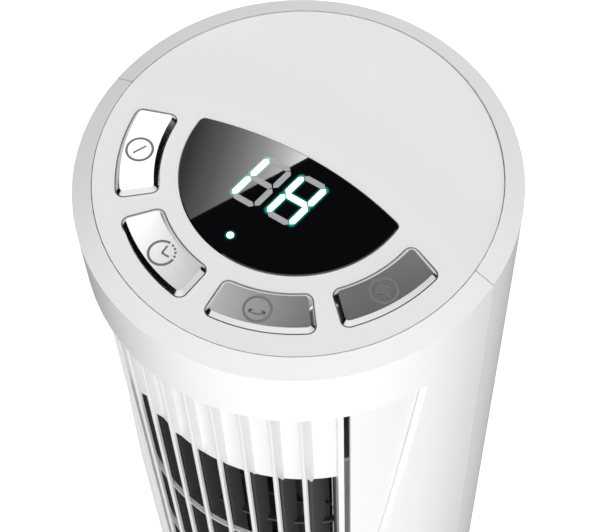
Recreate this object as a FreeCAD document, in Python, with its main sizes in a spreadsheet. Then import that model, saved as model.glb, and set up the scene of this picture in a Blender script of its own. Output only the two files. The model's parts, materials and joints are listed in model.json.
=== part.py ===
"""Tower fan: a swinging column with a cross-flow blower on a round base.

Millimetres, +Z up, front of the fan towards -Y, origin on the floor under
the column's axis. The sheet named Sizes drives every sub-part.
"""
import FreeCAD, Part
import math
import operator
import os

import Sketcher
from FreeCAD import Placement, Rotation, Vector

DOC = FreeCAD.newDocument("TowerFan")
SHEET = DOC.addObject("Spreadsheet::Sheet", "Sizes")

SIZES = {
    # whole fan
    "overall_height": 760.0,
    "column_bottom": 42.0,
    "column_radius": 80.0,
    "shell_wall": 2.4,
    "fit_gap": 0.3,
    # base
    "foot_rise": 3.0,
    "base_radius": 130.0,
    "base_rim": 9.0,
    "base_wall": 2.6,
    "neck_radius": 72.0,
    "swing_gap": 2.4,
    "spigot_radius": 30.0,
    "spigot_wall": 4.0,
    "post_radius": 14.0,
    "bush_wall": 3.0,
    "bush_clearance": 0.06,
    "cord_hole": 7.0,
    # top of the column
    "ring_width": 7.2,
    "ring_drop": 3.2,
    "seam_gap": 0.35,
    "cap_thickness": 3.0,
    "ledge_reach": 5.5,
    "band_height": 34.7,
    "split_gap": 0.3,
    "crease_radius": 150.0,
    "crease_offset": 16.5,
    "dish_depth": 1.1,
    "dish_reach": 62.0,
    # display and keys
    "lens_radius": 42.0,
    "lens_back": 7.5,
    "lens_back_radius": 141.0,
    "lens_thickness": 2.0,
    "lens_proud": 0.4,
    "lens_ledge": 3.0,
    "key_inner": 49.0,
    "key_outer": 64.0,
    "key_pitch": 43.7,
    "key_span": 35.6,
    "key_rise": 1.5,
    "key_bevel": 1.5,
    "key_gap": 0.45,
    "key_travel": 0.7,
    "board_drop": 15.0,
    "board_thickness": 1.6,
    "board_radius": 65.5,
    "plunger_radius": 1.7,
    # grille
    "opening_top": 30.0,
    "opening_low": 50.0,
    "opening_run": 166.0,
    "opening_bottom": 125.0,
    "grille_radius": 76.0,
    "fin_count": 9.0,
    "fin_step": 8.4,
    "fin_width": 1.6,
    "fin_depth": 1.6,
    "pocket_depth": 4.4,
    "back_wall": 1.4,
    "pocket_end": 105.5,
    "pocket_slope": 13.5,
    "rail_inner": 43.7,
    "rail_outer": 45.4,
    "slot_outer": 47.0,
    "surround_wall": 2.0,
    "surround_reach": 74.0,
    "bar_pitch": 62.0,
    "bar_height": 0.9,
    "louvre_depth": 10.5,
    # blower and drive
    "blower_radius": 50.0,
    "blower_back": 8.0,
    "blower_bottom": 140.0,
    "blower_top": 642.0,
    "blade_count": 30.0,
    "blade_depth": 10.0,
    "blade_thickness": 1.0,
    "disc_thickness": 1.6,
    "duct_wall": 1.6,
    "shaft_radius": 4.0,
    "shaft_clearance": 0.05,
    "motor_radius": 42.0,
    "motor_height": 42.0,
    "bracket_thickness": 2.5,
    # swing gear
    "gear_module": 1.25,
    "gear_teeth": 48.0,
    "pinion_teeth": 16.0,
    "gear_width": 6.0,
    "gear_backlash": 0.24,
    # intake and fasteners
    "slot_width": 4.0,
    "slot_height": 72.0,
    "slot_pitch": 82.0,
    "slot_step": 5.5,
    "slot_columns": 21.0,
    "slot_rows": 6.0,
    "screw_radius": 1.5,
    "screw_head": 3.0,
}


def fill_sheet():
    """Write each size into the sheet under its own alias."""
    for row, (alias, value) in enumerate(SIZES.items(), start=1):
        SHEET.set(f"A{row}", alias)
        SHEET.set(f"B{row}", str(value))
        SHEET.setAlias(f"B{row}", alias)
    DOC.recompute()


class Dim:
    """A size that knows its value now and the expression that drives it."""

    def __init__(self, value, text):
        self.value = float(value)
        self.text = text

    def join(self, sign, action, other, flip=False):
        first, second = (as_dim(other), self) if flip else (self, as_dim(other))
        return Dim(action(first.value, second.value), f"({first.text} {sign} {second.text})")

    def __add__(self, other):
        return self.join("+", operator.add, other)

    def __radd__(self, other):
        return self.join("+", operator.add, other, flip=True)

    def __sub__(self, other):
        return self.join("-", operator.sub, other)

    def __rsub__(self, other):
        return self.join("-", operator.sub, other, flip=True)

    def __mul__(self, other):
        return self.join("*", operator.mul, other)

    def __rmul__(self, other):
        return self.join("*", operator.mul, other, flip=True)

    def __truediv__(self, other):
        return self.join("/", operator.truediv, other)

    def __neg__(self):
        return Dim(0, "0") - self


def as_dim(number):
    return number if isinstance(number, Dim) else Dim(number, repr(float(number)))


def size(alias):
    return Dim(SIZES[alias], f"Sizes.{alias}")


def root(dim):
    return Dim(math.sqrt(dim.value), f"sqrt({dim.text})")


def cosd(angle):
    angle = as_dim(angle)
    return Dim(math.cos(math.radians(angle.value)), f"cos({angle.text})")


def sind(angle):
    angle = as_dim(angle)
    return Dim(math.sin(math.radians(angle.value)), f"sin({angle.text})")


def polar(radius, angle):
    return (radius * cosd(angle), radius * sind(angle))


def across(radius, offset):
    """Other coordinate of the point at this radius and this offset from an axis."""
    return root(radius * radius - offset * offset)


def bind(item, path, dim):
    """Tie one property to the sheet."""
    item.setExpression(path, as_dim(dim).text)


# ---------------------------------------------------------------- sketches
class Bend:
    """Marks the edge that follows as an arc, turning left or right."""

    def __init__(self, radius, left=True):
        self.radius = as_dim(radius)
        self.left = left


def arc_between(start, end, bend):
    """Arc of less than half a turn from start to end."""
    chord = end - start
    middle = start + chord * 0.5
    side = Vector(-chord.y, chord.x, 0).normalize() * (1 if bend.left else -1)
    radius = bend.radius.value
    centre = middle + side * math.sqrt(radius * radius - chord.Length ** 2 / 4)
    first, last = (start, end) if bend.left else (end, start)
    from_angle = math.atan2(first.y - centre.y, first.x - centre.x)
    to_angle = math.atan2(last.y - centre.y, last.x - centre.x)
    circle = Part.Circle(centre, Vector(0, 0, 1), radius)
    return Part.ArcOfCircle(circle, from_angle, to_angle)


def pin(rules, ties, geometry, point, x, y):
    """Hold one sketch point at the two given sizes."""
    for kind, axis, dim in (("DistanceX", -2, x), ("DistanceY", -1, y)):
        if dim.text in ("0", "0.0"):
            rules.append(Sketcher.Constraint("PointOnObject", geometry, point, axis))
            continue
        ties.append((len(rules), dim))
        rules.append(Sketcher.Constraint(kind, -1, 1, geometry, point, dim.value))


def draw_outline(nodes, first_id):
    """Geometry, rules and sheet ties of one closed outline."""
    corners, bends = [], {}
    for node in nodes:
        if isinstance(node, Bend):
            bends[len(corners) - 1] = node
        else:
            corners.append((as_dim(node[0]), as_dim(node[1])))
    points = [Vector(x.value, y.value, 0) for x, y in corners]
    edges, rules, ties, ends = [], [], [], []
    for index, start in enumerate(points):
        end = points[(index + 1) % len(points)]
        bend = bends.get(index)
        edges.append(arc_between(start, end, bend) if bend else Part.LineSegment(start, end))
        ends.append((2, 1) if bend and not bend.left else (1, 2))
    for index, (x, y) in enumerate(corners):
        following = (index + 1) % len(corners)
        here, there = first_id + index, first_id + following
        rules.append(Sketcher.Constraint("Coincident", here, ends[index][1], there, ends[following][0]))
        pin(rules, ties, here, ends[index][0], x, y)
    for index, bend in bends.items():
        ties.append((len(rules), bend.radius))
        rules.append(Sketcher.Constraint("Radius", first_id + index, bend.radius.value))
    return edges, rules, ties


class Round:
    """A full circle in a sketch."""

    def __init__(self, x, y, radius):
        self.x, self.y, self.radius = as_dim(x), as_dim(y), as_dim(radius)

    def draw(self, first_id):
        centre = Vector(self.x.value, self.y.value, 0)
        rules, ties = [], []
        pin(rules, ties, first_id, 3, self.x, self.y)
        ties.append((len(rules), self.radius))
        rules.append(Sketcher.Constraint("Radius", first_id, self.radius.value))
        return [Part.Circle(centre, Vector(0, 0, 1), self.radius.value)], rules, ties


def fill_sketch(sketch, loops):
    """Put closed loops into a sketch and tie each of their sizes to the sheet."""
    edges, rules, ties = [], [], []
    for loop in loops:
        drawer = loop.draw if isinstance(loop, Round) else (lambda at, nodes=loop: draw_outline(nodes, at))
        new_edges, new_rules, new_ties = drawer(len(edges))
        ties += [(len(rules) + index, dim) for index, dim in new_ties]
        edges += new_edges
        rules += new_rules
    sketch.addGeometry(edges, False)
    sketch.addConstraint(rules)
    for index, dim in ties:
        bind(sketch, f"Constraints[{index}]", dim)
    return sketch


def box_outline(x_low, y_low, x_high, y_high):
    return [(x_low, y_low), (x_high, y_low), (x_high, y_high), (x_low, y_high)]


def origin_item(body, role):
    return next(item for item in body.Origin.OriginFeatures if item.Role == role)


def new_body(name):
    body = DOC.addObject("PartDesign::Body", name)
    body.Label = name
    return body


def sketch_on(body, role, loops, lift=0.0, slide=0.0):
    """Sketch on an origin plane, lifted along its normal and slid along its own x."""
    sketch = body.newObject("Sketcher::SketchObject", body.Name + "_sketch")
    sketch.AttachmentSupport = [(origin_item(body, role), "")]
    sketch.MapMode = "FlatFace"
    bind(sketch, "AttachmentOffset.Base.z", lift)
    bind(sketch, "AttachmentOffset.Base.x", slide)
    return fill_sketch(sketch, loops)


def pad(body, loops, height, lift=0.0, role="XY_Plane", both_ways=False):
    feature = body.newObject("PartDesign::Pad", body.Name + "_pad")
    feature.Profile = sketch_on(body, role, loops, lift)
    bind(feature, "Length", height)
    feature.Midplane = both_ways
    return feature


def pocket(body, loops, depth, lift=0.0, role="XY_Plane", both_ways=False, reverse=False):
    """Cut against the sketch's normal, or along it when reversed."""
    feature = body.newObject("PartDesign::Pocket", body.Name + "_pocket")
    feature.Profile = sketch_on(body, role, loops, lift)
    bind(feature, "Length", depth)
    feature.Midplane = both_ways
    feature.Reversed = reverse
    return feature


def turned(body, outline, angle=360.0, role="XZ_Plane", cut=False, slide=0.0):
    """Revolution or groove about the sketch's vertical axis."""
    kind = "PartDesign::Groove" if cut else "PartDesign::Revolution"
    feature = body.newObject(kind, body.Name + "_turned")
    feature.Profile = sketch_on(body, role, [outline], slide=slide)
    feature.ReferenceAxis = (feature.Profile[0], ["V_Axis"])
    bind(feature, "Angle", angle)
    feature.Midplane = as_dim(angle).value < 360
    return feature


def turned_body(name, outline, angle=360.0, role="XZ_Plane"):
    body = new_body(name)
    turned(body, outline, angle, role)
    return body


def padded_body(name, loops, height, lift=0.0, role="XY_Plane", both_ways=False):
    body = new_body(name)
    pad(body, loops, height, lift, role, both_ways)
    return body


def front_sector(name, outline, half_angle):
    """Ring sector centred on the front; the outline's x is minus the radius."""
    mirrored = [node if isinstance(node, Bend) else (-as_dim(node[0]), node[1]) for node in outline]
    return turned_body(name, mirrored, half_angle * 2, role="YZ_Plane")


def ring_pattern(body, feature, count, angle=360.0):
    pattern = body.newObject("PartDesign::PolarPattern", body.Name + "_ring")
    pattern.Originals = [feature]
    pattern.Axis = (origin_item(body, "Z_Axis"), [""])
    pattern.Angle = angle
    bind(pattern, "Occurrences", count)
    body.Tip = pattern
    return pattern


def edges_where(feature, test):
    """Names of the feature's edges that pass a test."""
    DOC.recompute()
    edges = feature.Shape.Edges
    return [f"Edge{index}" for index, edge in enumerate(edges, start=1) if test(edge)]


def is_upright(edge):
    low, high = edge.BoundBox.ZMin, edge.BoundBox.ZMax
    return edge.BoundBox.DiagonalLength - (high - low) < 1e-6 and high - low > 1e-3


def is_corner_between(inner, outer):
    """Test for upright edges that stand between two radii."""
    low, high = as_dim(inner).value, as_dim(outer).value
    return lambda edge: (is_upright(edge)
                         and low < math.hypot(edge.BoundBox.Center.x, edge.BoundBox.Center.y) < high)


def lies_at(height):
    level = as_dim(height).value
    return lambda edge: abs(edge.BoundBox.ZMin - level) + abs(edge.BoundBox.ZMax - level) < 1e-4


def dress(body, kind, feature, test, amount):
    """Fillet or chamfer on the edges that pass a test."""
    dressing = body.newObject("PartDesign::" + kind, body.Name + "_" + kind.lower())
    dressing.Base = (feature, edges_where(feature, test))
    bind(dressing, "Radius" if kind == "Fillet" else "Size", amount)
    body.Tip = dressing
    return dressing


def combine(kind, label, base, tools):
    """Part boolean of a base with one or more tools."""
    tool = tools[0]
    if len(tools) > 1:
        tool = DOC.addObject("Part::MultiFuse", label + "_tools")
        tool.Shapes = tools
    result = DOC.addObject("Part::" + kind, label)
    result.Base, result.Tool = base, tool
    result.Label = label
    return result


def fuse_all(label, shapes):
    result = DOC.addObject("Part::MultiFuse", label)
    result.Shapes = shapes
    result.Label = label
    return result


def group_of(label, bodies):
    """Several separate solids of one kind in one node."""
    result = DOC.addObject("Part::Compound", label)
    result.Links = bodies
    result.Label = label
    return result


# ------------------------------------------------------------- key heights
fill_sheet()
PANEL = size("overall_height") - size("key_rise")
CAP_UNDER = PANEL - size("cap_thickness")
OUTER = size("column_radius")
INNER = OUTER - size("shell_wall")
SEAM = OUTER - size("ring_width")
CAP_RADIUS = SEAM - size("seam_gap")
LEDGE_INNER = SEAM - size("ledge_reach")
BAND_EDGE = PANEL - size("band_height")
FOOT = size("column_bottom")
FIT = size("fit_gap")
FOOT_PLATE = 4.0
FOOT_TOP = FOOT + FOOT_PLATE
WINDOW_LOW = size("opening_bottom")
SURROUND_OUTER = INNER - FIT
SURROUND_INNER = SURROUND_OUTER - size("surround_wall")
GRILLE_LOW = WINDOW_LOW - 6.0
GRILLE_HIGH = BAND_EDGE + 6.0
FIN_BACK = size("grille_radius") - size("fin_depth")
POCKET_FLOOR = size("grille_radius") - size("pocket_depth")
WALL_BACK = POCKET_FLOOR - size("back_wall")
POCKET_LOW = PANEL - size("pocket_end")
POCKET_RAMP = size("pocket_slope")
BLIND_BOTTOM = WINDOW_LOW + 25.0
BASE_UNDER = size("foot_rise")
BASE_TOP = FOOT - size("swing_gap")
SHAFT = size("shaft_radius")
BORE = SHAFT + size("shaft_clearance")
BRACKET_Z = size("blower_bottom") - 12.0
TOP_PLATE_Z = size("blower_top") + 6.0
BRACKET_TOP = BRACKET_Z + size("bracket_thickness")
COLLAR_LOW = BASE_TOP - 14.0
SPIGOT_END = BASE_TOP - 20.0
PLATE_WALL = 2.4
RIM_BEND, RIM_REACH, RIM_RISE, DOME_BEND = as_dim(15.0), 9.5, 10.5, as_dim(170.0)
BASE_BOSS_INSET = 14.0
BASE_BOSS_ANGLES = (45.0, 135.0, -135.0, -45.0)
CORD_Z = BASE_UNDER + size("cord_hole") + 1.0
CORD_DEPTH = 10.0
FOOT_BOSS_INSET = 4.0
KEY_NAMES = ("power", "timer", "swing", "speed")
BOARD_SPOTS = [(0.0, -45.0), (-40.0, 24.0), (40.0, 24.0)]
MOTOR_SPOT_ANGLES = (30.0, 150.0, 270.0)
END_STRETCH, END_LEAN = 3.4, 4.2
LENS_CORNER, KEY_CORNER = 2.5, 2.8
BOSS_X = OUTER - 6.5
BOSS_LEVELS = (92.0, 285.0, 478.0, 671.0)


# ------------------------------------------------------------------- base
def base_cover():
    """Domed upper shell of the base with the collar that holds the swing bush."""
    radius, wall, neck = size("base_radius"), size("base_wall"), size("neck_radius")
    collar_inner = size("spigot_radius") + size("bush_wall") + 0.02
    rim_top = BASE_UNDER + size("base_rim")
    outline = [
        (radius - 0.8, BASE_UNDER), (radius, BASE_UNDER + 1.2), (radius, rim_top), Bend(RIM_BEND),
        (radius - RIM_REACH, rim_top + RIM_RISE), Bend(DOME_BEND), (neck - 6.0, BASE_TOP),
        (collar_inner, BASE_TOP), (collar_inner, COLLAR_LOW),
        (collar_inner + 3.0, COLLAR_LOW), (collar_inner + 3.0, BASE_TOP - wall),
        (neck - 6.0, BASE_TOP - wall), Bend(DOME_BEND - wall, left=False),
        (radius - RIM_REACH - wall * 0.4, rim_top + RIM_RISE - wall * 0.9),
        Bend(RIM_BEND - wall, left=False),
        (radius - wall, rim_top), (radius - wall, BASE_UNDER),
    ]
    body = turned_body("base_cover", outline)
    spots = [polar(radius - BASE_BOSS_INSET, angle) for angle in BASE_BOSS_ANGLES]
    boss_low = BASE_UNDER + PLATE_WALL
    pad(body, [Round(x, y, 4.0) for x, y in spots], rim_top + RIM_RISE - boss_low, lift=boss_low)
    pilots = [Round(x, y, size("screw_radius") - 0.3) for x, y in spots]
    pocket(body, pilots, 9.0, lift=boss_low, reverse=True)
    inlet = Round(0.0, CORD_Z, size("cord_hole"))
    pocket(body, [inlet], CORD_DEPTH, lift=-(radius + 2.0), role="XZ_Plane", reverse=True)
    return body


def base_plate():
    """Flat lower half of the base with stiffening rings and pockets for the feet."""
    radius = size("base_radius") - size("base_wall") - FIT
    plate_top = BASE_UNDER + PLATE_WALL
    outline = [
        (0.0, BASE_UNDER), (radius, BASE_UNDER), (radius, BASE_UNDER + 5.0),
        (radius - 2.0, BASE_UNDER + 5.0), (radius - 2.0, plate_top),
        (62.0, plate_top), (62.0, BASE_UNDER + 7.0), (60.0, BASE_UNDER + 7.0),
        (60.0, plate_top), (0.0, plate_top),
    ]
    body = turned_body("base_plate", outline)
    room = size("cord_hole") + 1.0
    notch = box_outline(-room, BASE_UNDER + 0.8, room, BASE_UNDER + 9.0)
    pocket(body, [notch], CORD_DEPTH + 4.0, lift=-(radius + 4.0), role="XZ_Plane", reverse=True)
    clear, head = size("screw_radius") + 0.2, size("screw_head") + 0.4
    rim_spots = [polar(size("base_radius") - BASE_BOSS_INSET, angle) for angle in BASE_BOSS_ANGLES]
    pocket(body, [Round(x, y, clear) for x, y in rim_spots], 6.0, lift=plate_top + 1.0)
    pocket(body, [Round(x, y, head) for x, y in rim_spots], 1.4, lift=BASE_UNDER, reverse=True)
    pilots = [Round(x, y, size("screw_radius") - 0.35) for x, y in post_spots()]
    pocket(body, pilots, 6.0, lift=plate_top + 1.0)
    return body


def post_spots():
    return [polar(size("post_radius") + 5.0, 45.0 + 90.0 * index) for index in range(4)]


def rubber_feet():
    """Five round pads under the base plate."""
    feet = []
    for index in range(5):
        x, y = polar(size("base_radius") - 18.0, 90.0 + 72.0 * index)
        body = padded_body(f"foot_{index}", [Round(x, y, 8.0)], size("foot_rise"))
        dress(body, "Chamfer", body.Tip, lies_at(0.0), 0.6)
        feet.append(body)
    return group_of("rubber_feet", feet)


def pivot_post():
    """Hollow post that rises from the base plate and carries the fixed swing gear."""
    outer = size("post_radius")
    gear_low = FOOT_TOP + 3.0
    outline = [
        (outer - 4.0, BASE_UNDER + PLATE_WALL), (outer + 8.0, BASE_UNDER + PLATE_WALL),
        (outer + 8.0, BASE_UNDER + 5.4),
        (outer, BASE_UNDER + 5.4), (outer, gear_low), (outer - 2.0, gear_low),
        (outer - 2.0, gear_low + size("gear_width")), (outer - 4.0, gear_low + size("gear_width")),
    ]
    body = turned_body("pivot_post", outline)
    holes = [Round(x, y, size("screw_radius") + 0.1) for x, y in post_spots()]
    pocket(body, holes, 6.0, lift=BASE_UNDER + 6.4)
    return body


def swing_bush():
    """Low-friction flanged bush between the base collar and the column spigot."""
    inner = size("spigot_radius") + size("bush_clearance")
    outer = size("spigot_radius") + size("bush_wall")
    outline = [
        (inner, COLLAR_LOW), (outer, COLLAR_LOW), (outer, BASE_TOP + 0.01),
        (outer + 24.0, BASE_TOP + 0.01), (outer + 24.0, FOOT - 0.1), (inner, FOOT - 0.1),
    ]
    return turned_body("swing_bush", outline)


def cord_grommet():
    """Rubber inlet ring for the mains lead at the back of the base."""
    bore, radius = size("cord_hole"), size("base_radius")
    rings = [Round(0.0, CORD_Z, bore - 0.02), Round(0.0, CORD_Z, 3.4)]
    return padded_body("cord_grommet", rings, CORD_DEPTH - 3.0, lift=-(radius - 0.2), role="XZ_Plane")


# ----------------------------------------------------------- gear geometry
def involute_flank(base_radius, tip_radius, steps=5):
    """Points of one involute flank, as radius and the angle it has turned."""
    flank = []
    roll_end = math.sqrt((tip_radius / base_radius) ** 2 - 1)
    for index in range(steps + 1):
        roll = roll_end * index / steps
        flank.append((base_radius * math.hypot(1, roll), roll - math.atan(roll)))
    return flank


def gear_shape(teeth, module, width, bore, backlash, phase):
    """Spur gear about +Z from z = 0, with involute teeth and the first tooth at phase."""
    pressure = math.radians(20)
    pitch = module * teeth / 2
    base, tip, foot = pitch * math.cos(pressure), pitch + 0.8 * module, pitch - 1.15 * module
    half = math.pi / (2 * teeth) - backlash / (2 * pitch) + math.tan(pressure) - pressure
    flank = involute_flank(base, tip)
    corners = []
    for tooth in range(teeth):
        middle = phase + 2 * math.pi * tooth / teeth
        rising = [(foot, middle - half)] + [(r, middle - half + turn) for r, turn in flank]
        falling = [(r, middle + half - turn) for r, turn in reversed(flank)] + [(foot, middle + half)]
        corners += [Vector(r * math.cos(a), r * math.sin(a), 0) for r, a in rising + falling]
    blank = Part.Face(Part.makePolygon(corners + corners[:1])).extrude(Vector(0, 0, width))
    return blank.cut(Part.makeCylinder(bore, width))


def gear_part(label, shape, x, y, z):
    part = DOC.addObject("Part::Feature", label)
    part.Shape = shape
    part.Placement = Placement(Vector(x, y, z), Rotation())
    part.Label = label
    return part


def swing_gears():
    """Fixed gear on the post, and the pinion that walks round it with the column."""
    module, width = SIZES["gear_module"], SIZES["gear_width"]
    teeth, pinion_teeth = int(SIZES["gear_teeth"]), int(SIZES["pinion_teeth"])
    low = (FOOT_TOP + 3.0).value
    reach = module * (teeth + pinion_teeth) / 2
    post_seat = SIZES["post_radius"] - 2.0
    fixed = gear_shape(teeth, module, width, post_seat, SIZES["gear_backlash"] / 2, 0.0)
    gap_at_mesh = math.pi + math.pi / pinion_teeth
    pinion = gear_shape(pinion_teeth, module, width + 1.0, 3.0, SIZES["gear_backlash"] / 2, gap_at_mesh)
    gear_part("fixed_gear", fixed, 0, 0, low)
    gear_part("swing_pinion", pinion, reach, 0, low - 0.5)


def gear_reach():
    return size("gear_module") * (size("gear_teeth") + size("pinion_teeth")) / 2.0


# ------------------------------------------------------------ column shell
def shell_outline():
    """Section of the column wall with its sloping top ring and the ledge for the cap."""
    ledge_under = CAP_UNDER - 1.8
    return [
        (INNER, FOOT), (OUTER - 0.6, FOOT), (OUTER, FOOT + 0.6), (OUTER, PANEL - size("ring_drop")),
        (SEAM, PANEL), (SEAM, CAP_UNDER), (LEDGE_INNER, CAP_UNDER), (LEDGE_INNER, ledge_under),
        (SEAM, ledge_under), (INNER, ledge_under - 4.0),
    ]


def half_block(name, sign):
    """Block that keeps the front or the back half of a turned shell."""
    deep, start = OUTER + 5.0, size("split_gap") / 2.0
    low, high = (start, deep) if sign > 0 else (-deep, -start)
    loop = box_outline(-deep, low, deep, high)
    return padded_body(name, [loop], size("overall_height") + 10.0, lift=0.0)


def boss_spots():
    return [(sign * BOSS_X, z) for sign in (-1, 1) for z in BOSS_LEVELS]


def side_bosses(name, length, start):
    """Screw bosses along Y on both side walls."""
    loops = [Round(x, z, 4.5) for x, z in boss_spots()]
    return padded_body(name, loops, length, lift=start, role="XZ_Plane")


def foot_bosses(name, angles):
    loops = [Round(*polar(INNER - FOOT_BOSS_INSET, angle), 4.6) for angle in angles]
    return padded_body(name, loops, 18.0, lift=FOOT_TOP)


def front_opening():
    """Side view of the front opening, wide under the band and narrower lower down."""
    narrow_z = BAND_EDGE - size("opening_run")
    far = -(OUTER + 20.0)
    rows = [
        (far, WINDOW_LOW), (-size("opening_low"), WINDOW_LOW), (-size("opening_low"), narrow_z - 40.0),
        Bend(330.0, left=False), (-size("opening_low") + 2.4, narrow_z),
        (-size("opening_top"), BAND_EDGE), (far, BAND_EDGE),
    ]
    return padded_body("front_opening", [rows], OUTER * 2.0 + 40.0, role="YZ_Plane", both_ways=True)


def front_casing():
    """Front half of the shell: half the top ring, the band and both wings."""
    shell = turned_body("front_tube", shell_outline())
    half = combine("Common", "front_half", shell, [half_block("front_block", -1)])
    opened = combine("Cut", "front_open", half, [front_opening()])
    length = 14.0
    bosses = side_bosses("front_boss", length, size("split_gap") / 2.0)
    limit = padded_body("front_limit", [Round(0.0, 0.0, OUTER - 0.5)], size("overall_height"))
    kept = combine("Common", "front_boss_kept", bosses, [limit])
    feet = combine("Common", "front_foot_kept", foot_bosses("front_foot", (-45.0, -135.0)), [limit])
    solid = fuse_all("front_solid", [opened, kept, feet])
    pilots = [Round(x, z, size("screw_radius") - 0.3) for x, z in boss_spots()]
    side_holes = padded_body("front_pilot", pilots, length - 2.0, 0.0, "XZ_Plane")
    spots = [Round(*polar(INNER - FOOT_BOSS_INSET, a), size("screw_radius") - 0.3) for a in (-45.0, -135.0)]
    foot_holes = padded_body("front_foot_pilot", spots, 14.0, FOOT_TOP - 1.0, "XY_Plane")
    return combine("Cut", "front_casing", solid, [side_holes, foot_holes])


def intake_slots():
    """Upright intake slots across the back of the shell."""
    body = new_body("intake_slots")
    low = WINDOW_LOW + 30.0
    span = size("slot_step") * (size("slot_columns") - 1.0)
    start = 90.0 - (span / 2.0).value
    half = size("slot_width") / 2.0
    slot = box_outline(-half, low, half, low + size("slot_height"))
    first = pad(body, [slot], 16.0, lift=-(OUTER + 6.0), role="XZ_Plane")
    column = body.newObject("PartDesign::MultiTransform", "slot_field")
    column.Originals = [first]
    rows = body.newObject("PartDesign::LinearPattern", "slot_rows")
    rows.Direction = (origin_item(body, "Z_Axis"), [""])
    rows.Mode = "Spacing"
    bind(rows, "Offset", size("slot_pitch"))
    bind(rows, "Occurrences", size("slot_rows"))
    ring = body.newObject("PartDesign::PolarPattern", "slot_ring")
    ring.Axis = (origin_item(body, "Z_Axis"), [""])
    bind(ring, "Angle", span)
    bind(ring, "Occurrences", size("slot_columns"))
    column.Transformations = [rows, ring]
    body.Tip = column
    body.Placement = Placement(Vector(), Rotation(Vector(0, 0, 1), start - 90.0))
    return body


def rear_casing():
    """Back half of the shell with the intake slots and the screw tunnels."""
    shell = turned_body("rear_tube", shell_outline())
    half = combine("Common", "rear_half", shell, [half_block("rear_block", 1)])
    tunnels = side_bosses("rear_boss", 40.0, -40.0 - size("split_gap") / 2.0)
    limit = padded_body("rear_limit", [Round(0.0, 0.0, OUTER - 0.05)], size("overall_height"))
    kept = combine("Common", "rear_boss_kept", tunnels, [limit])
    feet = combine("Common", "rear_foot_kept", foot_bosses("rear_foot", (45.0, 135.0)), [limit])
    solid = fuse_all("rear_solid", [half, kept, feet])
    spots = boss_spots()
    through = padded_body("rear_through", [Round(x, z, size("screw_radius") + 0.1) for x, z in spots],
                    44.0, -44.0, "XZ_Plane")
    sinks = padded_body("rear_sink", [Round(x, z, size("screw_head") + 0.4) for x, z in spots],
                  44.0, -52.0, "XZ_Plane")
    holes = [Round(*polar(INNER - FOOT_BOSS_INSET, a), size("screw_radius") - 0.3) for a in (45.0, 135.0)]
    foot_holes = padded_body("rear_foot_pilot", holes, 14.0, FOOT_TOP - 1.0, "XY_Plane")
    return combine("Cut", "rear_casing", solid, [intake_slots(), through, sinks, foot_holes])


def column_foot():
    """Plate that closes the column and turns in the base on its hollow spigot."""
    outer, inner = size("spigot_radius"), size("spigot_radius") - size("spigot_wall")
    edge = INNER - FIT
    outline = [
        (inner, SPIGOT_END), (outer, SPIGOT_END), (outer, FOOT), (edge, FOOT),
        (edge, FOOT_TOP), (inner, FOOT_TOP),
    ]
    body = turned_body("column_foot", outline)
    spots = [polar(INNER - FOOT_BOSS_INSET, a) for a in (45.0, 135.0, -45.0, -135.0)]
    pocket(body, [Round(x, y, size("screw_radius") + 0.2) for x, y in spots], 10.0, lift=FOOT_TOP + 1.0)
    pocket(body, [Round(x, y, size("screw_head") + 0.3) for x, y in spots], 2.0, lift=FOOT, reverse=True)
    return body


def swing_retainer():
    """Ring screwed under the collar that stops the column lifting out of the base."""
    outer = size("spigot_radius") + size("bush_wall") + 5.0
    bore, seat = size("spigot_radius") - size("spigot_wall"), size("spigot_radius") + 0.02
    outline = [
        (bore, SPIGOT_END - 2.5), (outer, SPIGOT_END - 2.5), (outer, COLLAR_LOW - FIT),
        (seat, COLLAR_LOW - FIT), (seat, SPIGOT_END), (bore, SPIGOT_END),
    ]
    return turned_body("swing_retainer", outline)


# ----------------------------------------------------------------- grille
def fin_offsets():
    """Sideways place of each fin: even steps round the grille's curve."""
    half = int(SIZES["fin_count"]) // 2
    return [size("grille_radius") * sind(size("fin_step") * step) for step in range(-half, half + 1)]


def fin_pads(name, width):
    loops = []
    for x in fin_offsets():
        loops.append(box_outline(x - width / 2.0, -(size("grille_radius") + 4.0), x + width / 2.0, -50.0))
    return padded_body(name, loops, GRILLE_HIGH - GRILLE_LOW, lift=GRILLE_LOW)


def grille_surround():
    """Inner panel behind the wings; its window frames the grille."""
    high, low = GRILLE_HIGH + 5.0, GRILLE_LOW - 6.0
    outline = [(SURROUND_INNER, low), (SURROUND_OUTER, low), (SURROUND_OUTER, high), (SURROUND_INNER, high)]
    sheet = front_sector("surround_sheet", outline, size("surround_reach"))
    window = [
        (SURROUND_INNER - 5.0, GRILLE_LOW - 1.6), (SURROUND_OUTER + 5.0, GRILLE_LOW - 1.6),
        (SURROUND_OUTER + 5.0, GRILLE_HIGH + 1.6), (SURROUND_INNER - 5.0, GRILLE_HIGH + 1.6),
    ]
    hole = front_sector("surround_window", window, size("slot_outer"))
    return combine("Cut", "grille_surround", sheet, [hole])


def fin_envelope():
    """Section that the fins fill: shallow strips, deeper beside the closed ends."""
    front = size("grille_radius")
    ramp = POCKET_RAMP * (size("fin_depth") / size("pocket_depth"))
    outline = [
        (front, GRILLE_LOW), (front, GRILLE_HIGH), (WALL_BACK + 0.2, GRILLE_HIGH),
        (WALL_BACK + 0.2, POCKET_LOW), (POCKET_FLOOR, POCKET_LOW),
        (FIN_BACK, POCKET_LOW + POCKET_RAMP - ramp),
        (FIN_BACK, BLIND_BOTTOM), (WALL_BACK + 0.2, BLIND_BOTTOM), (WALL_BACK + 0.2, GRILLE_LOW),
    ]
    return front_sector("fin_envelope", outline, size("rail_outer"))


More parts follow.
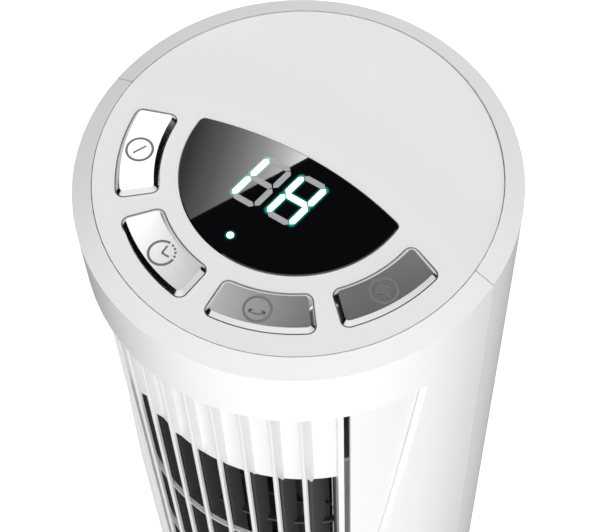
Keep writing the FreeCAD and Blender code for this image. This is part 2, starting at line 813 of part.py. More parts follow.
def front_grille():
    """White grille: upright fins, closed ends, side rails and thin cross bars."""
    front, reach = size("grille_radius"), size("rail_outer")
    fins = combine("Common", "grille_fins", fin_pads("fin_plates", size("fin_width")), [fin_envelope()])
    closed = []
    walls = (("upper_wall", POCKET_LOW, GRILLE_HIGH), ("lower_wall", GRILLE_LOW, BLIND_BOTTOM))
    for name, low, high in walls:
        outline = [(WALL_BACK, low), (POCKET_FLOOR, low), (POCKET_FLOOR, high), (WALL_BACK, high)]
        closed.append(front_sector(name, outline, reach))
    rails = front_sector("rail_ring", [(WALL_BACK, GRILLE_LOW), (front, GRILLE_LOW),
                                       (front, GRILLE_HIGH), (WALL_BACK, GRILLE_HIGH)], reach)
    gap = front_sector("rail_gap", [(WALL_BACK - 5.0, GRILLE_LOW - 1.0), (front + 5.0, GRILLE_LOW - 1.0),
                                    (front + 5.0, GRILLE_HIGH + 1.0), (WALL_BACK - 5.0, GRILLE_HIGH + 1.0)],
                       size("rail_inner"))
    side_rails = combine("Cut", "side_rails", rails, [gap])
    bars = []
    for index in range(1, 8):
        low = POCKET_LOW - size("bar_pitch") * float(index)
        outline = [(FIN_BACK - 1.4, low), (FIN_BACK + 0.4, low),
                   (FIN_BACK + 0.4, low + size("bar_height")), (FIN_BACK - 1.4, low + size("bar_height"))]
        bars.append(front_sector(f"cross_bar_{index}", outline, reach - 0.5))
    return fuse_all("front_grille", [fins, side_rails] + closed + bars)


def inner_louvre():
    """Black ribs that stand behind the white fins, tied by rails and curved stays."""
    back = size("grille_radius") - size("louvre_depth")
    rib_front = FIN_BACK - 1.8
    ramp = POCKET_RAMP * ((size("fin_depth") + 1.8) / size("pocket_depth"))
    shelf = WALL_BACK - FIT
    top = POCKET_LOW + 12.0
    outline = [
        (rib_front, BLIND_BOTTOM + 1.0), (rib_front, POCKET_LOW + POCKET_RAMP - ramp - 2.0),
        (POCKET_FLOOR, POCKET_LOW - 1.0), (shelf, POCKET_LOW - 1.0), (shelf, top), (back, top),
        (back, BLIND_BOTTOM - 12.0), (shelf, BLIND_BOTTOM - 12.0), (shelf, BLIND_BOTTOM + 1.0),
    ]
    envelope = front_sector("rib_envelope", outline, size("rail_outer"))
    ribs = combine("Common", "louvre_ribs", fin_pads("rib_plates", size("fin_width") - 0.2), [envelope])
    stays = []
    for index in range(9):
        low = top - 3.0 - (top - BLIND_BOTTOM + 9.0) / 8.0 * float(index)
        outline = [(back, low), (back + 2.4, low), (back + 2.4, low + 2.0), (back, low + 2.0)]
        stays.append(front_sector(f"stay_{index}", outline, size("rail_outer")))
    side = front_sector("louvre_ring", [(back, BLIND_BOTTOM - 12.0), (shelf, BLIND_BOTTOM - 12.0),
                                        (shelf, top), (back, top)], size("rail_outer"))
    middle = front_sector("louvre_gap", [(back - 5.0, GRILLE_LOW - 9.0), (shelf + 5.0, GRILLE_LOW - 9.0),
                                         (shelf + 5.0, top + 5.0), (back - 5.0, top + 5.0)],
                          size("rail_inner") - 0.5)
    rails = combine("Cut", "louvre_rails", side, [middle])
    return fuse_all("inner_louvre", [ribs, rails] + stays)


# ------------------------------------------------------------- top panel
def lens_outline(shrink=0.0):
    """Half-moon outline: a front arc about the column axis and a flatter back arc."""
    radius, back_radius = size("lens_radius") - shrink, size("lens_back_radius") - shrink
    axis_y = size("lens_back") - size("lens_back_radius")
    corner_y = (back_radius * back_radius - radius * radius - axis_y * axis_y) / (axis_y * -2.0)
    corner_x = across(radius, corner_y)
    return [(-corner_x, corner_y), Bend(radius), (0.0, -radius), Bend(radius),
            (corner_x, corner_y), Bend(back_radius)]


def key_corners(index, grow=0.0):
    """Corners of one key: inner start, inner end, outer end, outer start."""
    centre = -90.0 + size("key_pitch") * (index - 1.5)
    half = size("key_span") / 2.0
    inner, outer = size("key_inner") - grow, size("key_outer") + grow
    slack_in, slack_out = 57.3 * grow / inner, 57.3 * grow / outer
    first, last = (END_STRETCH if index == 0 else 0.0), (END_STRETCH if index == 3 else 0.0)
    start, end = centre - half - first, centre + half + last
    first_lean, last_lean = (END_LEAN if index == 0 else 0.0), (END_LEAN if index == 3 else 0.0)
    return (polar(inner, start - slack_in), polar(inner, end + slack_in),
            polar(outer, end - last_lean + slack_out), polar(outer, start + first_lean - slack_out))


def key_outline(index, grow=0.0):
    inner, outer = size("key_inner") - grow, size("key_outer") + grow
    start, inner_end, outer_end, back = key_corners(index, as_dim(grow))
    return [start, Bend(inner), inner_end, outer_end, Bend(outer, left=False), back]


def top_cap():
    """Round top panel with the display recess, the key holes and a shallow dish behind."""
    body = new_body("top_cap")
    pad(body, [Round(0.0, 0.0, CAP_RADIUS)], size("cap_thickness"), lift=CAP_UNDER)
    skirt = LEDGE_INNER - FIT
    pad(body, [Round(0.0, 0.0, skirt), Round(0.0, 0.0, skirt - 1.2)], 4.0, lift=CAP_UNDER - 4.0)
    axis_shift = size("crease_offset") - size("crease_radius")
    sagitta, half_chord = size("dish_depth"), size("dish_reach") / 2.0
    dish_radius = (half_chord * half_chord + sagitta * sagitta) / (sagitta * 2.0)
    start, end = size("crease_radius"), size("crease_radius") + size("dish_reach")
    dish = [(start, PANEL), Bend(dish_radius), (end, PANEL), (end, PANEL + 1.0), (start, PANEL + 1.0)]
    turned(body, dish, role="YZ_Plane", cut=True, slide=axis_shift)
    recess = size("lens_thickness") - size("lens_proud")
    pocket(body, [lens_outline(-0.1)], recess, lift=PANEL)
    pocket(body, [lens_outline(size("lens_ledge"))], 20.0, lift=PANEL)
    dress(body, "Fillet", body.Tip, is_corner_between(30.0, size("key_inner") - 1.0), LENS_CORNER)
    for index in range(4):
        pocket(body, [key_outline(index, size("key_gap"))], 20.0, lift=PANEL + 1.0)
    key_holes = is_corner_between(size("key_inner") - 2.0, size("key_outer") + 2.0)
    dress(body, "Fillet", body.Tip, key_holes, size("key_gap") + KEY_CORNER)
    board_top = PANEL - size("board_drop")
    pad(body, [Round(x, y, 2.4) for x, y in BOARD_SPOTS], CAP_UNDER - board_top, lift=board_top)
    pocket(body, [Round(x, y, 1.0) for x, y in BOARD_SPOTS], 8.0, lift=board_top, reverse=True)
    return body


def display_lens():
    """Smoked window over the display."""
    body = padded_body("display_lens", [lens_outline()], size("lens_thickness"),
                       lift=PANEL + size("lens_proud") - size("lens_thickness"))
    rounded = dress(body, "Fillet", body.Tip, is_upright, LENS_CORNER)
    dress(body, "Chamfer", rounded, lies_at(PANEL + size("lens_proud")), 0.35)
    return body


def display_module():
    """Two-digit light module under the lens."""
    board_top = PANEL - size("board_drop")
    under_lens = PANEL + size("lens_proud") - size("lens_thickness") - 1.0
    return padded_body("display_module", [box_outline(-22.0, -32.0, 22.0, -1.0)],
                       under_lens - board_top, lift=board_top)


def key_button(index, name):
    """Bevelled key with a retaining flange under the panel and a stem to its switch."""
    body = new_body(name + "_button")
    under = CAP_UNDER - size("key_travel") / 2.0
    top = PANEL + size("key_rise")
    face = pad(body, [key_outline(index)], top - under, lift=under)
    rounded = dress(body, "Fillet", face, is_upright, KEY_CORNER)
    dress(body, "Chamfer", rounded, lies_at(top), size("key_bevel"))
    flange_top = CAP_UNDER - 0.05
    pad(body, [key_outline(index, 1.2)], 1.4, lift=flange_top - 1.4)
    x, y = key_centre(index)
    pad(body, [Round(x, y, 2.0)], flange_top - 1.4 - plunger_top(), lift=plunger_top())
    return body


def key_centre(index):
    middle = (size("key_inner") + size("key_outer")) / 2.0
    return polar(middle, -90.0 + size("key_pitch") * (index - 1.5))


def plunger_top():
    return PANEL - size("board_drop") + 5.0


def key_plungers():
    """Small switch stems, one under each key."""
    for index, name in enumerate(KEY_NAMES):
        x, y = key_centre(index)
        low = PANEL - size("board_drop") + 2.4
        padded_body(name + "_plunger", [Round(x, y, size("plunger_radius"))], plunger_top() - low, lift=low)


def tact_switches():
    """Four switch housings on the control board, each with a bore for its stem."""
    housings = []
    for index, name in enumerate(KEY_NAMES):
        x, y = key_centre(index)
        body = new_body(name + "_switch")
        pad(body, [box_outline(x - 3.0, y - 3.0, x + 3.0, y + 3.0)], 3.6, lift=PANEL - size("board_drop"))
        bore = size("plunger_radius") + 0.1
        pocket(body, [Round(x, y, bore)], 2.4, lift=PANEL - size("board_drop") + 3.6)
        housings.append(body)
    return group_of("tact_switches", housings)


def control_board():
    """Round circuit board under the panel, cut straight at the back."""
    radius, cut_y = size("board_radius"), 32.0
    side = across(radius, as_dim(cut_y))
    outline = [(-side, cut_y), Bend(radius), (0.0, -radius), Bend(radius), (side, cut_y)]
    body = padded_body("control_board", [outline], size("board_thickness"),
                       lift=PANEL - size("board_drop") - size("board_thickness"))
    pocket(body, [Round(x, y, 1.3) for x, y in BOARD_SPOTS], 10.0, lift=PANEL - size("board_drop") + 1.0)
    return body


# ---------------------------------------------------------------- screws
def screw(name, x, y, z, direction, length, radius=None, head=None):
    """One pan-head screw: head underside at the given point, shank along direction."""
    radius = radius or size("screw_radius")
    head = head or size("screw_head")
    body = turned_body(name, [(0.0, 0.0), (radius - 0.35, 0.0), (radius - 0.35, length), (0.0, length)])
    turned(body, [(0.0, -2.0), (head - 0.6, -2.0), (head, -1.2), (head, 0.0), (0.0, 0.0)])
    pocket(body, [box_outline(-head * 0.7, -0.35, head * 0.7, 0.35)], 0.9, lift=-2.0, reverse=True)
    turn = Rotation(Vector(0, 0, 1), Vector(*direction))
    body.Placement = Placement(Vector(), turn)
    for axis, dim in zip("xyz", (x, y, z)):
        bind(body, f"Placement.Base.{axis}", dim)
    return body


def screw_groups():
    """Identical screws share one node."""
    casing = [screw(f"casing_screw_{index}", x, 8.0, z, (0, -1, 0), 18.0)
              for index, (x, z) in enumerate(boss_spots())]
    group_of("casing_screws", casing)
    foot = []
    for index, angle in enumerate((45.0, 135.0, -45.0, -135.0)):
        x, y = polar(INNER - FOOT_BOSS_INSET, angle)
        foot.append(screw(f"foot_screw_{index}", x, y, FOOT + 2.0, (0, 0, 1), 11.0))
    group_of("foot_screws", foot)
    board = []
    for index, (x, y) in enumerate(BOARD_SPOTS):
        under = PANEL - size("board_drop") - size("board_thickness")
        board.append(screw(f"board_screw_{index}", x, y, under, (0, 0, 1), 7.0, as_dim(1.3), as_dim(2.4)))
    group_of("board_screws", board)
    motor = []
    for index, (x, y) in enumerate(motor_spots()):
        under = BRACKET_Z - 5.0
        motor.append(screw(f"motor_screw_{index}", x, y + size("blower_back"), under, (0, 0, 1), 7.4))
    group_of("motor_screws", motor)
    base = []
    for index, angle in enumerate(BASE_BOSS_ANGLES):
        x, y = polar(size("base_radius") - BASE_BOSS_INSET, angle)
        base.append(screw(f"base_screw_{index}", x, y, BASE_UNDER + 1.4, (0, 0, 1), 8.6,
                          head=size("screw_head")))
    group_of("base_screws", base)
    post = [screw(f"post_screw_{index}", x, y, BASE_UNDER + 5.4, (0, 0, -1), 4.6)
            for index, (x, y) in enumerate(post_spots())]
    group_of("post_screws", post)


# ------------------------------------------------------- blower and ducts
def at_blower(radius, angle):
    x, y = polar(radius, angle)
    return (x, y + size("blower_back"))


def blade_outline():
    """Curved blade section, leaning forward at the rim."""
    outer, inner = size("blower_radius") - 0.6, size("blower_radius") - size("blade_depth")
    lean, thick = 9.0, size("blade_thickness")
    turn_out, turn_in = 57.3 * thick / outer, 57.3 * thick / inner
    return [polar(inner, 0.0), Bend(14.0), polar(outer, as_dim(lean)), polar(outer, lean + turn_out),
            Bend(13.0, left=False), polar(inner, turn_in)]


def blower_wheel():
    """Cross-flow wheel: long curved blades held by thin discs."""
    body = new_body("blower_wheel")
    low, high, thick = size("blower_bottom"), size("blower_top"), size("disc_thickness")
    pad(body, [Round(0.0, 0.0, size("blower_radius")), Round(0.0, 0.0, 12.0)], thick, lift=low)
    blade = pad(body, [blade_outline()], high - low, lift=low)
    ring_pattern(body, blade, size("blade_count"))
    section = (high - low - thick) / 6.0
    for index in range(1, 6):
        ring = [Round(0.0, 0.0, size("blower_radius")),
                Round(0.0, 0.0, size("blower_radius") - size("blade_depth") - 2.0)]
        pad(body, ring, thick, lift=low + section * float(index))
    pad(body, [Round(0.0, 0.0, size("blower_radius")), Round(0.0, 0.0, 3.0)], thick, lift=high - thick)
    bind(body, "Placement.Base.y", size("blower_back"))
    return body


def moved_back(body):
    bind(body, "Placement.Base.y", size("blower_back"))
    return body


def drive_parts():
    """Everything that spins with the wheel, and the bearings it runs in."""
    low, thick = size("blower_bottom"), size("disc_thickness")
    hub = [(SHAFT, low - 6.0), (9.0, low - 6.0), (9.0, low - 1.0), (12.0, low - 1.0), (12.0, low + thick),
           (9.0, low + thick), (9.0, low + 14.0), (SHAFT, low + 14.0)]
    moved_back(turned_body("drive_hub", hub))
    motor_low = BRACKET_Z - size("motor_height")
    moved_back(turned_body("motor_shaft", [(0.0, motor_low - 4.0), (SHAFT, motor_low - 4.0),
                                           (SHAFT, low + 12.0), (0.0, low + 12.0)]))
    moved_back(turned_body("motor_rotor", [(SHAFT, motor_low + 9.0), (20.0, motor_low + 9.0),
                                           (20.0, BRACKET_Z - 12.5), (SHAFT, BRACKET_Z - 12.5)]))
    stub_low = size("blower_top") - thick
    stub = [(0.0, stub_low - 4.0), (5.0, stub_low - 4.0), (5.0, stub_low), (3.0, stub_low),
            (3.0, TOP_PLATE_Z + 9.0), (0.0, TOP_PLATE_Z + 9.0)]
    moved_back(turned_body("top_stub", stub))
    seat_inner = 3.0 + size("shaft_clearance")
    moved_back(turned_body("top_bush", [(seat_inner, TOP_PLATE_Z - 2.0), (7.0, TOP_PLATE_Z - 2.0),
                                        (7.0, TOP_PLATE_Z + 7.0), (seat_inner, TOP_PLATE_Z + 7.0)]))
    moved_back(turned_body("bush_seat", [(7.0, TOP_PLATE_Z - 2.0), (14.0, TOP_PLATE_Z - 2.0),
                                         (14.0, TOP_PLATE_Z + 5.0), (7.0, TOP_PLATE_Z + 5.0)]))


def motor_spots():
    """Places of the three motor fixings, about the motor's own axis."""
    return [polar(size("motor_radius") + 6.0, angle) for angle in MOTOR_SPOT_ANGLES]


def motor_parts():
    """Motor can, laminated core and windings, bushes and the rubber rings under the bracket."""
    top, radius = BRACKET_Z - 3.0, size("motor_radius")
    low = BRACKET_Z - size("motor_height")
    wall = 1.2
    can = [(BORE + 5.0, low), (radius, low), (radius, top), (BORE + 5.0, top), (BORE + 5.0, top - wall),
           (radius - wall, top - wall), (radius - wall, low + wall), (BORE + 5.0, low + wall)]
    can_body = moved_back(turned_body("motor_can", can))
    spots = motor_spots()
    ears = moved_back(padded_body("motor_ears", [Round(x, y, 6.5) for x, y in spots], 2.0, lift=top - 2.0))
    holes = moved_back(padded_body("ear_holes", [Round(x, y, 1.7) for x, y in spots], 6.0, lift=top - 4.0))
    room = moved_back(padded_body("motor_room", [Round(0.0, 0.0, radius - wall)], top - low - wall * 2.0,
                                  lift=low + wall))
    combine("Cut", "motor_housing", fuse_all("motor_joined", [can_body, ears]), [holes, room])
    for name, z in (("lower_bush", low), ("upper_bush", top - 8.0)):
        moved_back(turned_body(name, [(BORE, z), (BORE + 5.0, z), (BORE + 5.0, z + 8.0), (BORE, z + 8.0)]))
    moved_back(turned_body("stator_core", [(20.6, low + 11.0), (radius - wall, low + 11.0),
                                           (radius - wall, top - 10.0), (20.6, top - 10.0)]))
    coils = []
    for name, z in (("coil_low", low + 2.0), ("coil_high", top - 9.9)):
        section = [(24.0, z), (36.0, z), (36.0, z + 8.0), (24.0, z + 8.0)]
        coils.append(moved_back(turned_body(name, section)))
    group_of("stator_windings", coils)
    rings = []
    for index, (x, y) in enumerate(spots):
        ring = [Round(x, y, 5.5), Round(x, y, 1.7)]
        rings.append(moved_back(padded_body(f"damper_{index}", ring, 3.0, lift=top)))
    group_of("motor_dampers", rings)


def motor_bracket():
    """Round plate that carries the motor below and closes the duct above."""
    arm, thickness = INNER - FIT * 2.0 - 8.0, size("bracket_thickness")
    body = padded_body("motor_bracket", [Round(0.0, 0.0, as_dim(64.0))], thickness, lift=BRACKET_Z)
    pad(body, [box_outline(-arm, -6.0, arm, 6.0)], thickness, lift=BRACKET_Z)
    back = size("blower_back")
    pocket(body, [Round(0.0, back, 11.0)], 10.0, lift=BRACKET_TOP + 1.0)
    holes = [Round(x, y + back, size("screw_radius") - 0.35) for x, y in motor_spots()]
    pocket(body, holes, 10.0, lift=BRACKET_TOP + 1.0)
    return body


def blower_top_plate():
    """Plate over the wheel that holds the top bearing."""
    body = padded_body("blower_top_plate", [Round(0.0, 0.0, 64.0)], 3.0, lift=TOP_PLATE_Z)
    pocket(body, [Round(0.0, size("blower_back"), 14.0)], 10.0, lift=TOP_PLATE_Z + 5.0)
    return body


def duct_walls():
    """Scroll wall on the left and tongue wall on the right of the wheel."""
    low, high = BRACKET_TOP, TOP_PLATE_Z
    inner = size("blower_radius") + 3.5
    outer = inner + size("duct_wall")
    scroll = [at_blower(inner, 100.0), Bend(inner), at_blower(inner, 200.0), (-42.5, -45.0), (-44.0, -45.8),
              at_blower(outer, 200.0), Bend(outer, left=False), at_blower(outer, 100.0)]
    padded_body("scroll_wall", [scroll], high - low, lift=low)
    near = size("blower_radius") + 2.5
    far = near + size("duct_wall")
    tongue = [at_blower(near, 20.0), Bend(near, left=False), at_blower(near, -18.0), (42.5, -45.0),
              (44.0, -45.8), at_blower(far, -17.0), Bend(far), at_blower(far, 20.0)]
    padded_body("tongue_wall", [tongue], high - low, lift=low)


def electronics():
    """Main board with its capacitor, and the flat lead up to the control board."""
    floor = TOP_PLATE_Z + 3.0
    padded_body("main_board", [box_outline(-38.0, 36.0, 38.0, 37.6)], 52.0, lift=floor)
    padded_body("run_capacitor", [box_outline(-30.0, 20.0, -4.0, 35.9)], 26.0, lift=floor + 6.0)
    padded_body("power_transformer", [box_outline(6.0, 18.0, 30.0, 35.9)], 24.0, lift=floor + 6.0)
    board_under = PANEL - size("board_drop") - size("board_thickness")
    top = floor + 52.0
    ribbon = [box_outline(-8.0, 30.0, 8.0, 30.8)]
    padded_body("ribbon_lead", ribbon, board_under - top + 6.0, lift=top - 6.0)


def swing_drive():
    """Gear motor that turns the pinion, on a bridge above the column foot."""
    reach = gear_reach()
    deck = FOOT_TOP + 3.0 + size("gear_width") + 3.0
    bridge = new_body("swing_bracket")
    pad(bridge, [Round(reach, 0.0, 27.0)], 2.0, lift=deck)
    posts = [(reach - 2.0, 22.0), (reach - 2.0, -22.0)]
    pad(bridge, [Round(x, y, 3.5) for x, y in posts], deck - FOOT_TOP, lift=FOOT_TOP)
    pocket(bridge, [Round(reach, 0.0, 5.0)], 10.0, lift=deck + 4.0)
    padded_body("swing_motor", [Round(reach, 0.0, 21.0), Round(reach, 0.0, 3.1)], 15.0, lift=deck + 2.0)
    shaft = turned_body("swing_shaft", [(0.0, FOOT_TOP + 1.5), (3.0, FOOT_TOP + 1.5), (3.0, deck + 14.0),
                                        (0.0, deck + 14.0)])
    bind(shaft, "Placement.Base.x", reach)


# ------------------------------------------------------------------ output
NODES = [
    "base_cover", "base_plate", "rubber_feet", "pivot_post", "swing_bush", "cord_grommet", "fixed_gear",
    "post_screws", "base_screws", "column_foot", "swing_retainer", "foot_screws", "front_casing",
    "rear_casing", "casing_screws", "grille_surround", "front_grille", "inner_louvre", "top_cap",
    "display_lens",
    "display_module", "control_board", "board_screws", "tact_switches", "motor_bracket", "motor_housing",
    "stator_core", "stator_windings", "lower_bush", "upper_bush", "motor_dampers", "motor_screws",
    "blower_top_plate", "top_bush", "bush_seat", "scroll_wall", "tongue_wall", "main_board",
    "run_capacitor", "power_transformer", "ribbon_lead", "swing_bracket", "swing_motor",
    "blower_wheel", "drive_hub", "motor_shaft", "motor_rotor", "top_stub", "swing_pinion", "swing_shaft",
] + [f"{name}_button" for name in KEY_NAMES] + [f"{name}_plunger" for name in KEY_NAMES]


def build():
    for make in (base_cover, base_plate, rubber_feet, pivot_post, swing_bush, cord_grommet, swing_gears,
                 column_foot, swing_retainer, front_casing, rear_casing, grille_surround,
                 front_grille, inner_louvre, top_cap, display_lens, display_module, control_board,
                 tact_switches, key_plungers, motor_bracket, motor_parts, drive_parts, blower_top_plate,
                 duct_walls, electronics, swing_drive, blower_wheel, screw_groups):
        make()
    for index, name in enumerate(KEY_NAMES):
        key_button(index, name)
    DOC.recompute()


def check_document():
    """Stop if any object failed, or a sub-part has no valid shape."""
    failed = [item.Name for item in DOC.Objects if {"Invalid", "Error"} & set(item.State)]
    if failed:
        raise RuntimeError(f"failed objects: {failed}")
    for label in NODES:
        shape = DOC.getObjectsByLabel(label)[0].Shape
        if shape.isNull() or not shape.isValid() or not shape.Solids:
            raise RuntimeError(f"{label} has no valid solid")


def export():
    os.makedirs("parts", exist_ok=True)
    for label in NODES:
        part = DOC.getObjectsByLabel(label)[0]
        part.Shape.exportStep(f"parts/{label}.step")
        print(f"{label:20s} solids {len(part.Shape.Solids):3d}  volume {part.Shape.Volume:12.1f}")


build()
check_document()
export()
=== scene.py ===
"""Looks of the tower fan: its finishes, display, keys, grille, blower and screws.

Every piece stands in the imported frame, in metres, +Z up, with the front of
the fan towards -Y.
"""
from __future__ import annotations

import json
import logging
import math
from collections.abc import Iterable, Sequence
from dataclasses import dataclass, field
from enum import Enum
from typing import Any

import bmesh
import bpy
from mathutils import Euler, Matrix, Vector

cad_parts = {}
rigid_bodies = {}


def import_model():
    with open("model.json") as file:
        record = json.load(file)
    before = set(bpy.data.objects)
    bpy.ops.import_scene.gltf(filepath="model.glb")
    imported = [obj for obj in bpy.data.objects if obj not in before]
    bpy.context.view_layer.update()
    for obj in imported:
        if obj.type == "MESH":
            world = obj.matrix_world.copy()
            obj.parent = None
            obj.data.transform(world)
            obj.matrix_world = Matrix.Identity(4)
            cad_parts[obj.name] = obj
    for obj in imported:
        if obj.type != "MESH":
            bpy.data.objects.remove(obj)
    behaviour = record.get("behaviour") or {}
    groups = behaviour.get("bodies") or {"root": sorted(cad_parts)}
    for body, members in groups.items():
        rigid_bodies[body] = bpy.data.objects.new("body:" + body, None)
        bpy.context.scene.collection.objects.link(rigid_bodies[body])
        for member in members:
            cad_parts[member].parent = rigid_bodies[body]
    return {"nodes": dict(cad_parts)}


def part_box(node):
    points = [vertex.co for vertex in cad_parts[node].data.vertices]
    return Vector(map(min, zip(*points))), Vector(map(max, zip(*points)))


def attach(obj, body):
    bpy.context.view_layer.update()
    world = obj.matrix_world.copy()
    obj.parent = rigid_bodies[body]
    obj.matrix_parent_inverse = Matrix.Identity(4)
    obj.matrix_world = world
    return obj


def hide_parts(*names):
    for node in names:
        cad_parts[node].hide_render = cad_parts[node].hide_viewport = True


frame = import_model()

LOG = logging.getLogger("tower_fan")
MM = 0.001
FRONT = -90.0  # azimuth of the fan's front, in degrees

Colour = tuple[float, float, float]
Point = tuple[float, float]
Piece = bpy.types.Object
Mesh = bpy.types.Mesh
Material = bpy.types.Material
Tree = bpy.types.NodeTree
Node = bpy.types.Node
Socket = bpy.types.NodeSocket


class Graph:
    """Adds and links the nodes of one tree."""

    def __init__(self, tree: Tree) -> None:
        """Work on this tree."""
        self.tree = tree

    def add(self, kind: str, inputs: dict[Any, Any] | None = None, **settings: Any) -> Node:
        """Add one node.

        Args:
            kind: The node's type name.
            inputs: Values or sockets for its inputs, by name or number.
            **settings: Properties of the node itself.

        Returns:
            The new node.
        """
        node = self.tree.nodes.new(kind)
        for name, value in settings.items():
            setattr(node, name, value)
        for name, value in (inputs or {}).items():
            if isinstance(value, Socket):
                self.tree.links.new(value, node.inputs[name])
            else:
                node.inputs[name].default_value = value
        return node

    def math(self, operation: str, first: Any, second: Any = 0.0) -> Socket:
        """Output of one Math node on two sockets or numbers."""
        return self.add("ShaderNodeMath", {0: first, 1: second}, operation=operation).outputs[0]

    def vector(self, operation: str, first: Any, second: Any = (0.0, 0.0, 0.0)) -> Node:
        """One Vector Math node on two sockets or vectors."""
        return self.add("ShaderNodeVectorMath", {0: first, 1: second}, operation=operation)

    def xyz(self, x: Any = 0.0, y: Any = 0.0, z: Any = 0.0) -> Socket:
        """Vector from three sockets or numbers."""
        return self.add("ShaderNodeCombineXYZ", {0: x, 1: y, 2: z}).outputs[0]

    def blend(self, factor: Any, first: Any, second: Any) -> Socket:
        """Colour that runs from the first to the second with the factor."""
        return self.add("ShaderNodeMix", {0: factor, 6: first, 7: second}, data_type="RGBA").outputs[2]

    def grey(self, colour: Socket) -> Socket:
        """Brightness of a colour."""
        return self.add("ShaderNodeRGBToBW", {0: colour}).outputs[0]

    def bump(self, height: Socket, depth: float) -> Socket:
        """Normal of a surface that rises to this depth in metres with the height."""
        bump = self.add("ShaderNodeBump", {"Strength": 1.0, "Distance": depth, "Height": height})
        return bump.outputs["Normal"]

    def cells(self, place: Socket, size: float, **settings: Any) -> Node:
        """Voronoi node whose cells are about this size in metres."""
        return self.add("ShaderNodeTexVoronoi", {"Vector": place, "Scale": 1.0 / size}, **settings)

    def remap(self, value: Any, span: Point, onto: Point = (0.0, 1.0), **settings: Any) -> Socket:
        """Move a value from one span onto another.

        Args:
            value: The socket or number.
            span: The values that it runs between.
            onto: What they become.
            **settings: Properties of the node itself.

        Returns:
            The moved value, held at the ends of the new span.
        """
        ends = {0: value, 1: span[0], 2: span[1], 3: onto[0], 4: onto[1]}
        return self.add("ShaderNodeMapRange", ends, **settings).outputs[0]


# ------------------------------------------------------------------ finishes
@dataclass(frozen=True)
class Finish:
    """A surface finish: plain moulded plastic, rubber or metal with a fine grain.

    Lengths are in metres; rough_size is a share of mottle_size.
    """

    name: str
    colour: Colour
    roughness: float = 0.4
    metallic: float = 0.0
    ior: float = 1.48
    coat: float = 0.0
    coat_roughness: float = 0.08
    mottle: float = 0.02
    mottle_size: float = 0.05
    rough_spread: float = 0.04
    rough_size: float = 0.4
    grain_size: float = 0.0007
    grain_height: float = 0.000006

    def material(self) -> Material:
        """Make the material, or find it if it is there already.

        Returns:
            The material.
        """
        found = bpy.data.materials.get(self.name)
        if found:
            return found
        made = bpy.data.materials.new(self.name)
        made.use_nodes = True
        graph = Graph(made.node_tree)
        shader = made.node_tree.nodes["Principled BSDF"]
        for label, value in (("Metallic", self.metallic), ("IOR", self.ior), ("Coat Weight", self.coat),
                             ("Coat Roughness", self.coat_roughness)):
            shader.inputs[label].default_value = value
        place = graph.add("ShaderNodeTexCoord").outputs["Object"]
        for label, source in (("Base Color", self.paint), ("Roughness", self.sheen), ("Normal", self.relief)):
            graph.tree.links.new(source(graph, place), shader.inputs[label])
        self.extras(graph, shader, place)
        made.diffuse_color = (*self.colour, 1.0)
        return made

    def noise(self, graph: Graph, place: Socket, size: float, detail: float = 2.0) -> Socket:
        """Noise value whose features are about this size."""
        return graph.add("ShaderNodeTexNoise", {"Vector": place, "Scale": 1.0 / size, "Detail": detail},
                         noise_dimensions="3D").outputs["Fac"]

    def between(self, graph: Graph, factor: Socket, low: Colour, high: Colour) -> Socket:
        """Colour that runs from one to the other with the factor."""
        return graph.blend(factor, (*low, 1.0), (*high, 1.0))

    def shades(self, share: float) -> tuple[Colour, Colour]:
        """The colour a share darker and a share lighter."""
        return (tuple(c * (1.0 - share) for c in self.colour),
                tuple(min(1.0, c * (1.0 + share)) for c in self.colour))

    def paint(self, graph: Graph, place: Socket) -> Socket:
        """Colour of the surface, with a faint broad mottle."""
        return self.between(graph, self.noise(graph, place, self.mottle_size, 3.0), *self.shades(self.mottle))

    def sheen(self, graph: Graph, place: Socket) -> Socket:
        """Make the surface a little uneven in its sheen.

        Args:
            graph: The material's nodes.
            place: Where on the piece.

        Returns:
            The roughness.
        """
        low, high = max(0.0, self.roughness - self.rough_spread), self.roughness + self.rough_spread
        uneven = self.noise(graph, place, self.mottle_size * self.rough_size, 4.0)
        return graph.remap(uneven, (0.0, 1.0), (low, high))

    def relief(self, graph: Graph, place: Socket) -> Socket:
        """Bump of the fine moulded grain."""
        return graph.bump(self.noise(graph, place, self.grain_size, 2.0), self.grain_height)

    def extras(self, graph: Graph, shader: Node, place: Socket) -> None:
        """What a special finish adds to its shader."""


class Axis(Enum):
    """Direction of the lines or scratches on a finish."""

    X = 0
    Z = 2


@dataclass(frozen=True)
class Lined(Finish):
    """Finish with fine even lines, such as a coil's wire or a stack of plates."""

    axis: Axis = Axis.Z
    pitch: float = 0.001
    line_depth: float = 0.00008
    line_shade: float = 0.35

    def lines(self, graph: Graph, place: Socket) -> Socket:
        """Wave that runs across the lines."""
        return graph.add("ShaderNodeTexWave", {"Vector": place, "Scale": math.pi / (10.0 * self.pitch)},
                         wave_type="BANDS", bands_direction=self.axis.name).outputs["Fac"]

    def paint(self, graph: Graph, place: Socket) -> Socket:
        """Colour, darker between the lines."""
        return self.between(graph, self.lines(graph, place), self.shades(self.line_shade)[0], self.colour)

    def relief(self, graph: Graph, place: Socket) -> Socket:
        """Bump of the lines."""
        return graph.bump(self.lines(graph, place), self.line_depth)


@dataclass(frozen=True)
class Brushed(Finish):
    """Metal drawn or ground along one direction."""

    axis: Axis = Axis.X
    stretch: float = 0.04

    def relief(self, graph: Graph, place: Socket) -> Socket:
        """Raise the long fine scratches.

        Args:
            graph: The material's nodes.
            place: Where on the piece.

        Returns:
            The surface's normal.
        """
        scale = [1.0, 1.0, 1.0]
        scale[self.axis.value] = self.stretch
        drawn = graph.add("ShaderNodeMapping", {"Vector": place, "Scale": scale}).outputs[0]
        return graph.bump(self.noise(graph, drawn, self.grain_size, 3.0), self.grain_height)


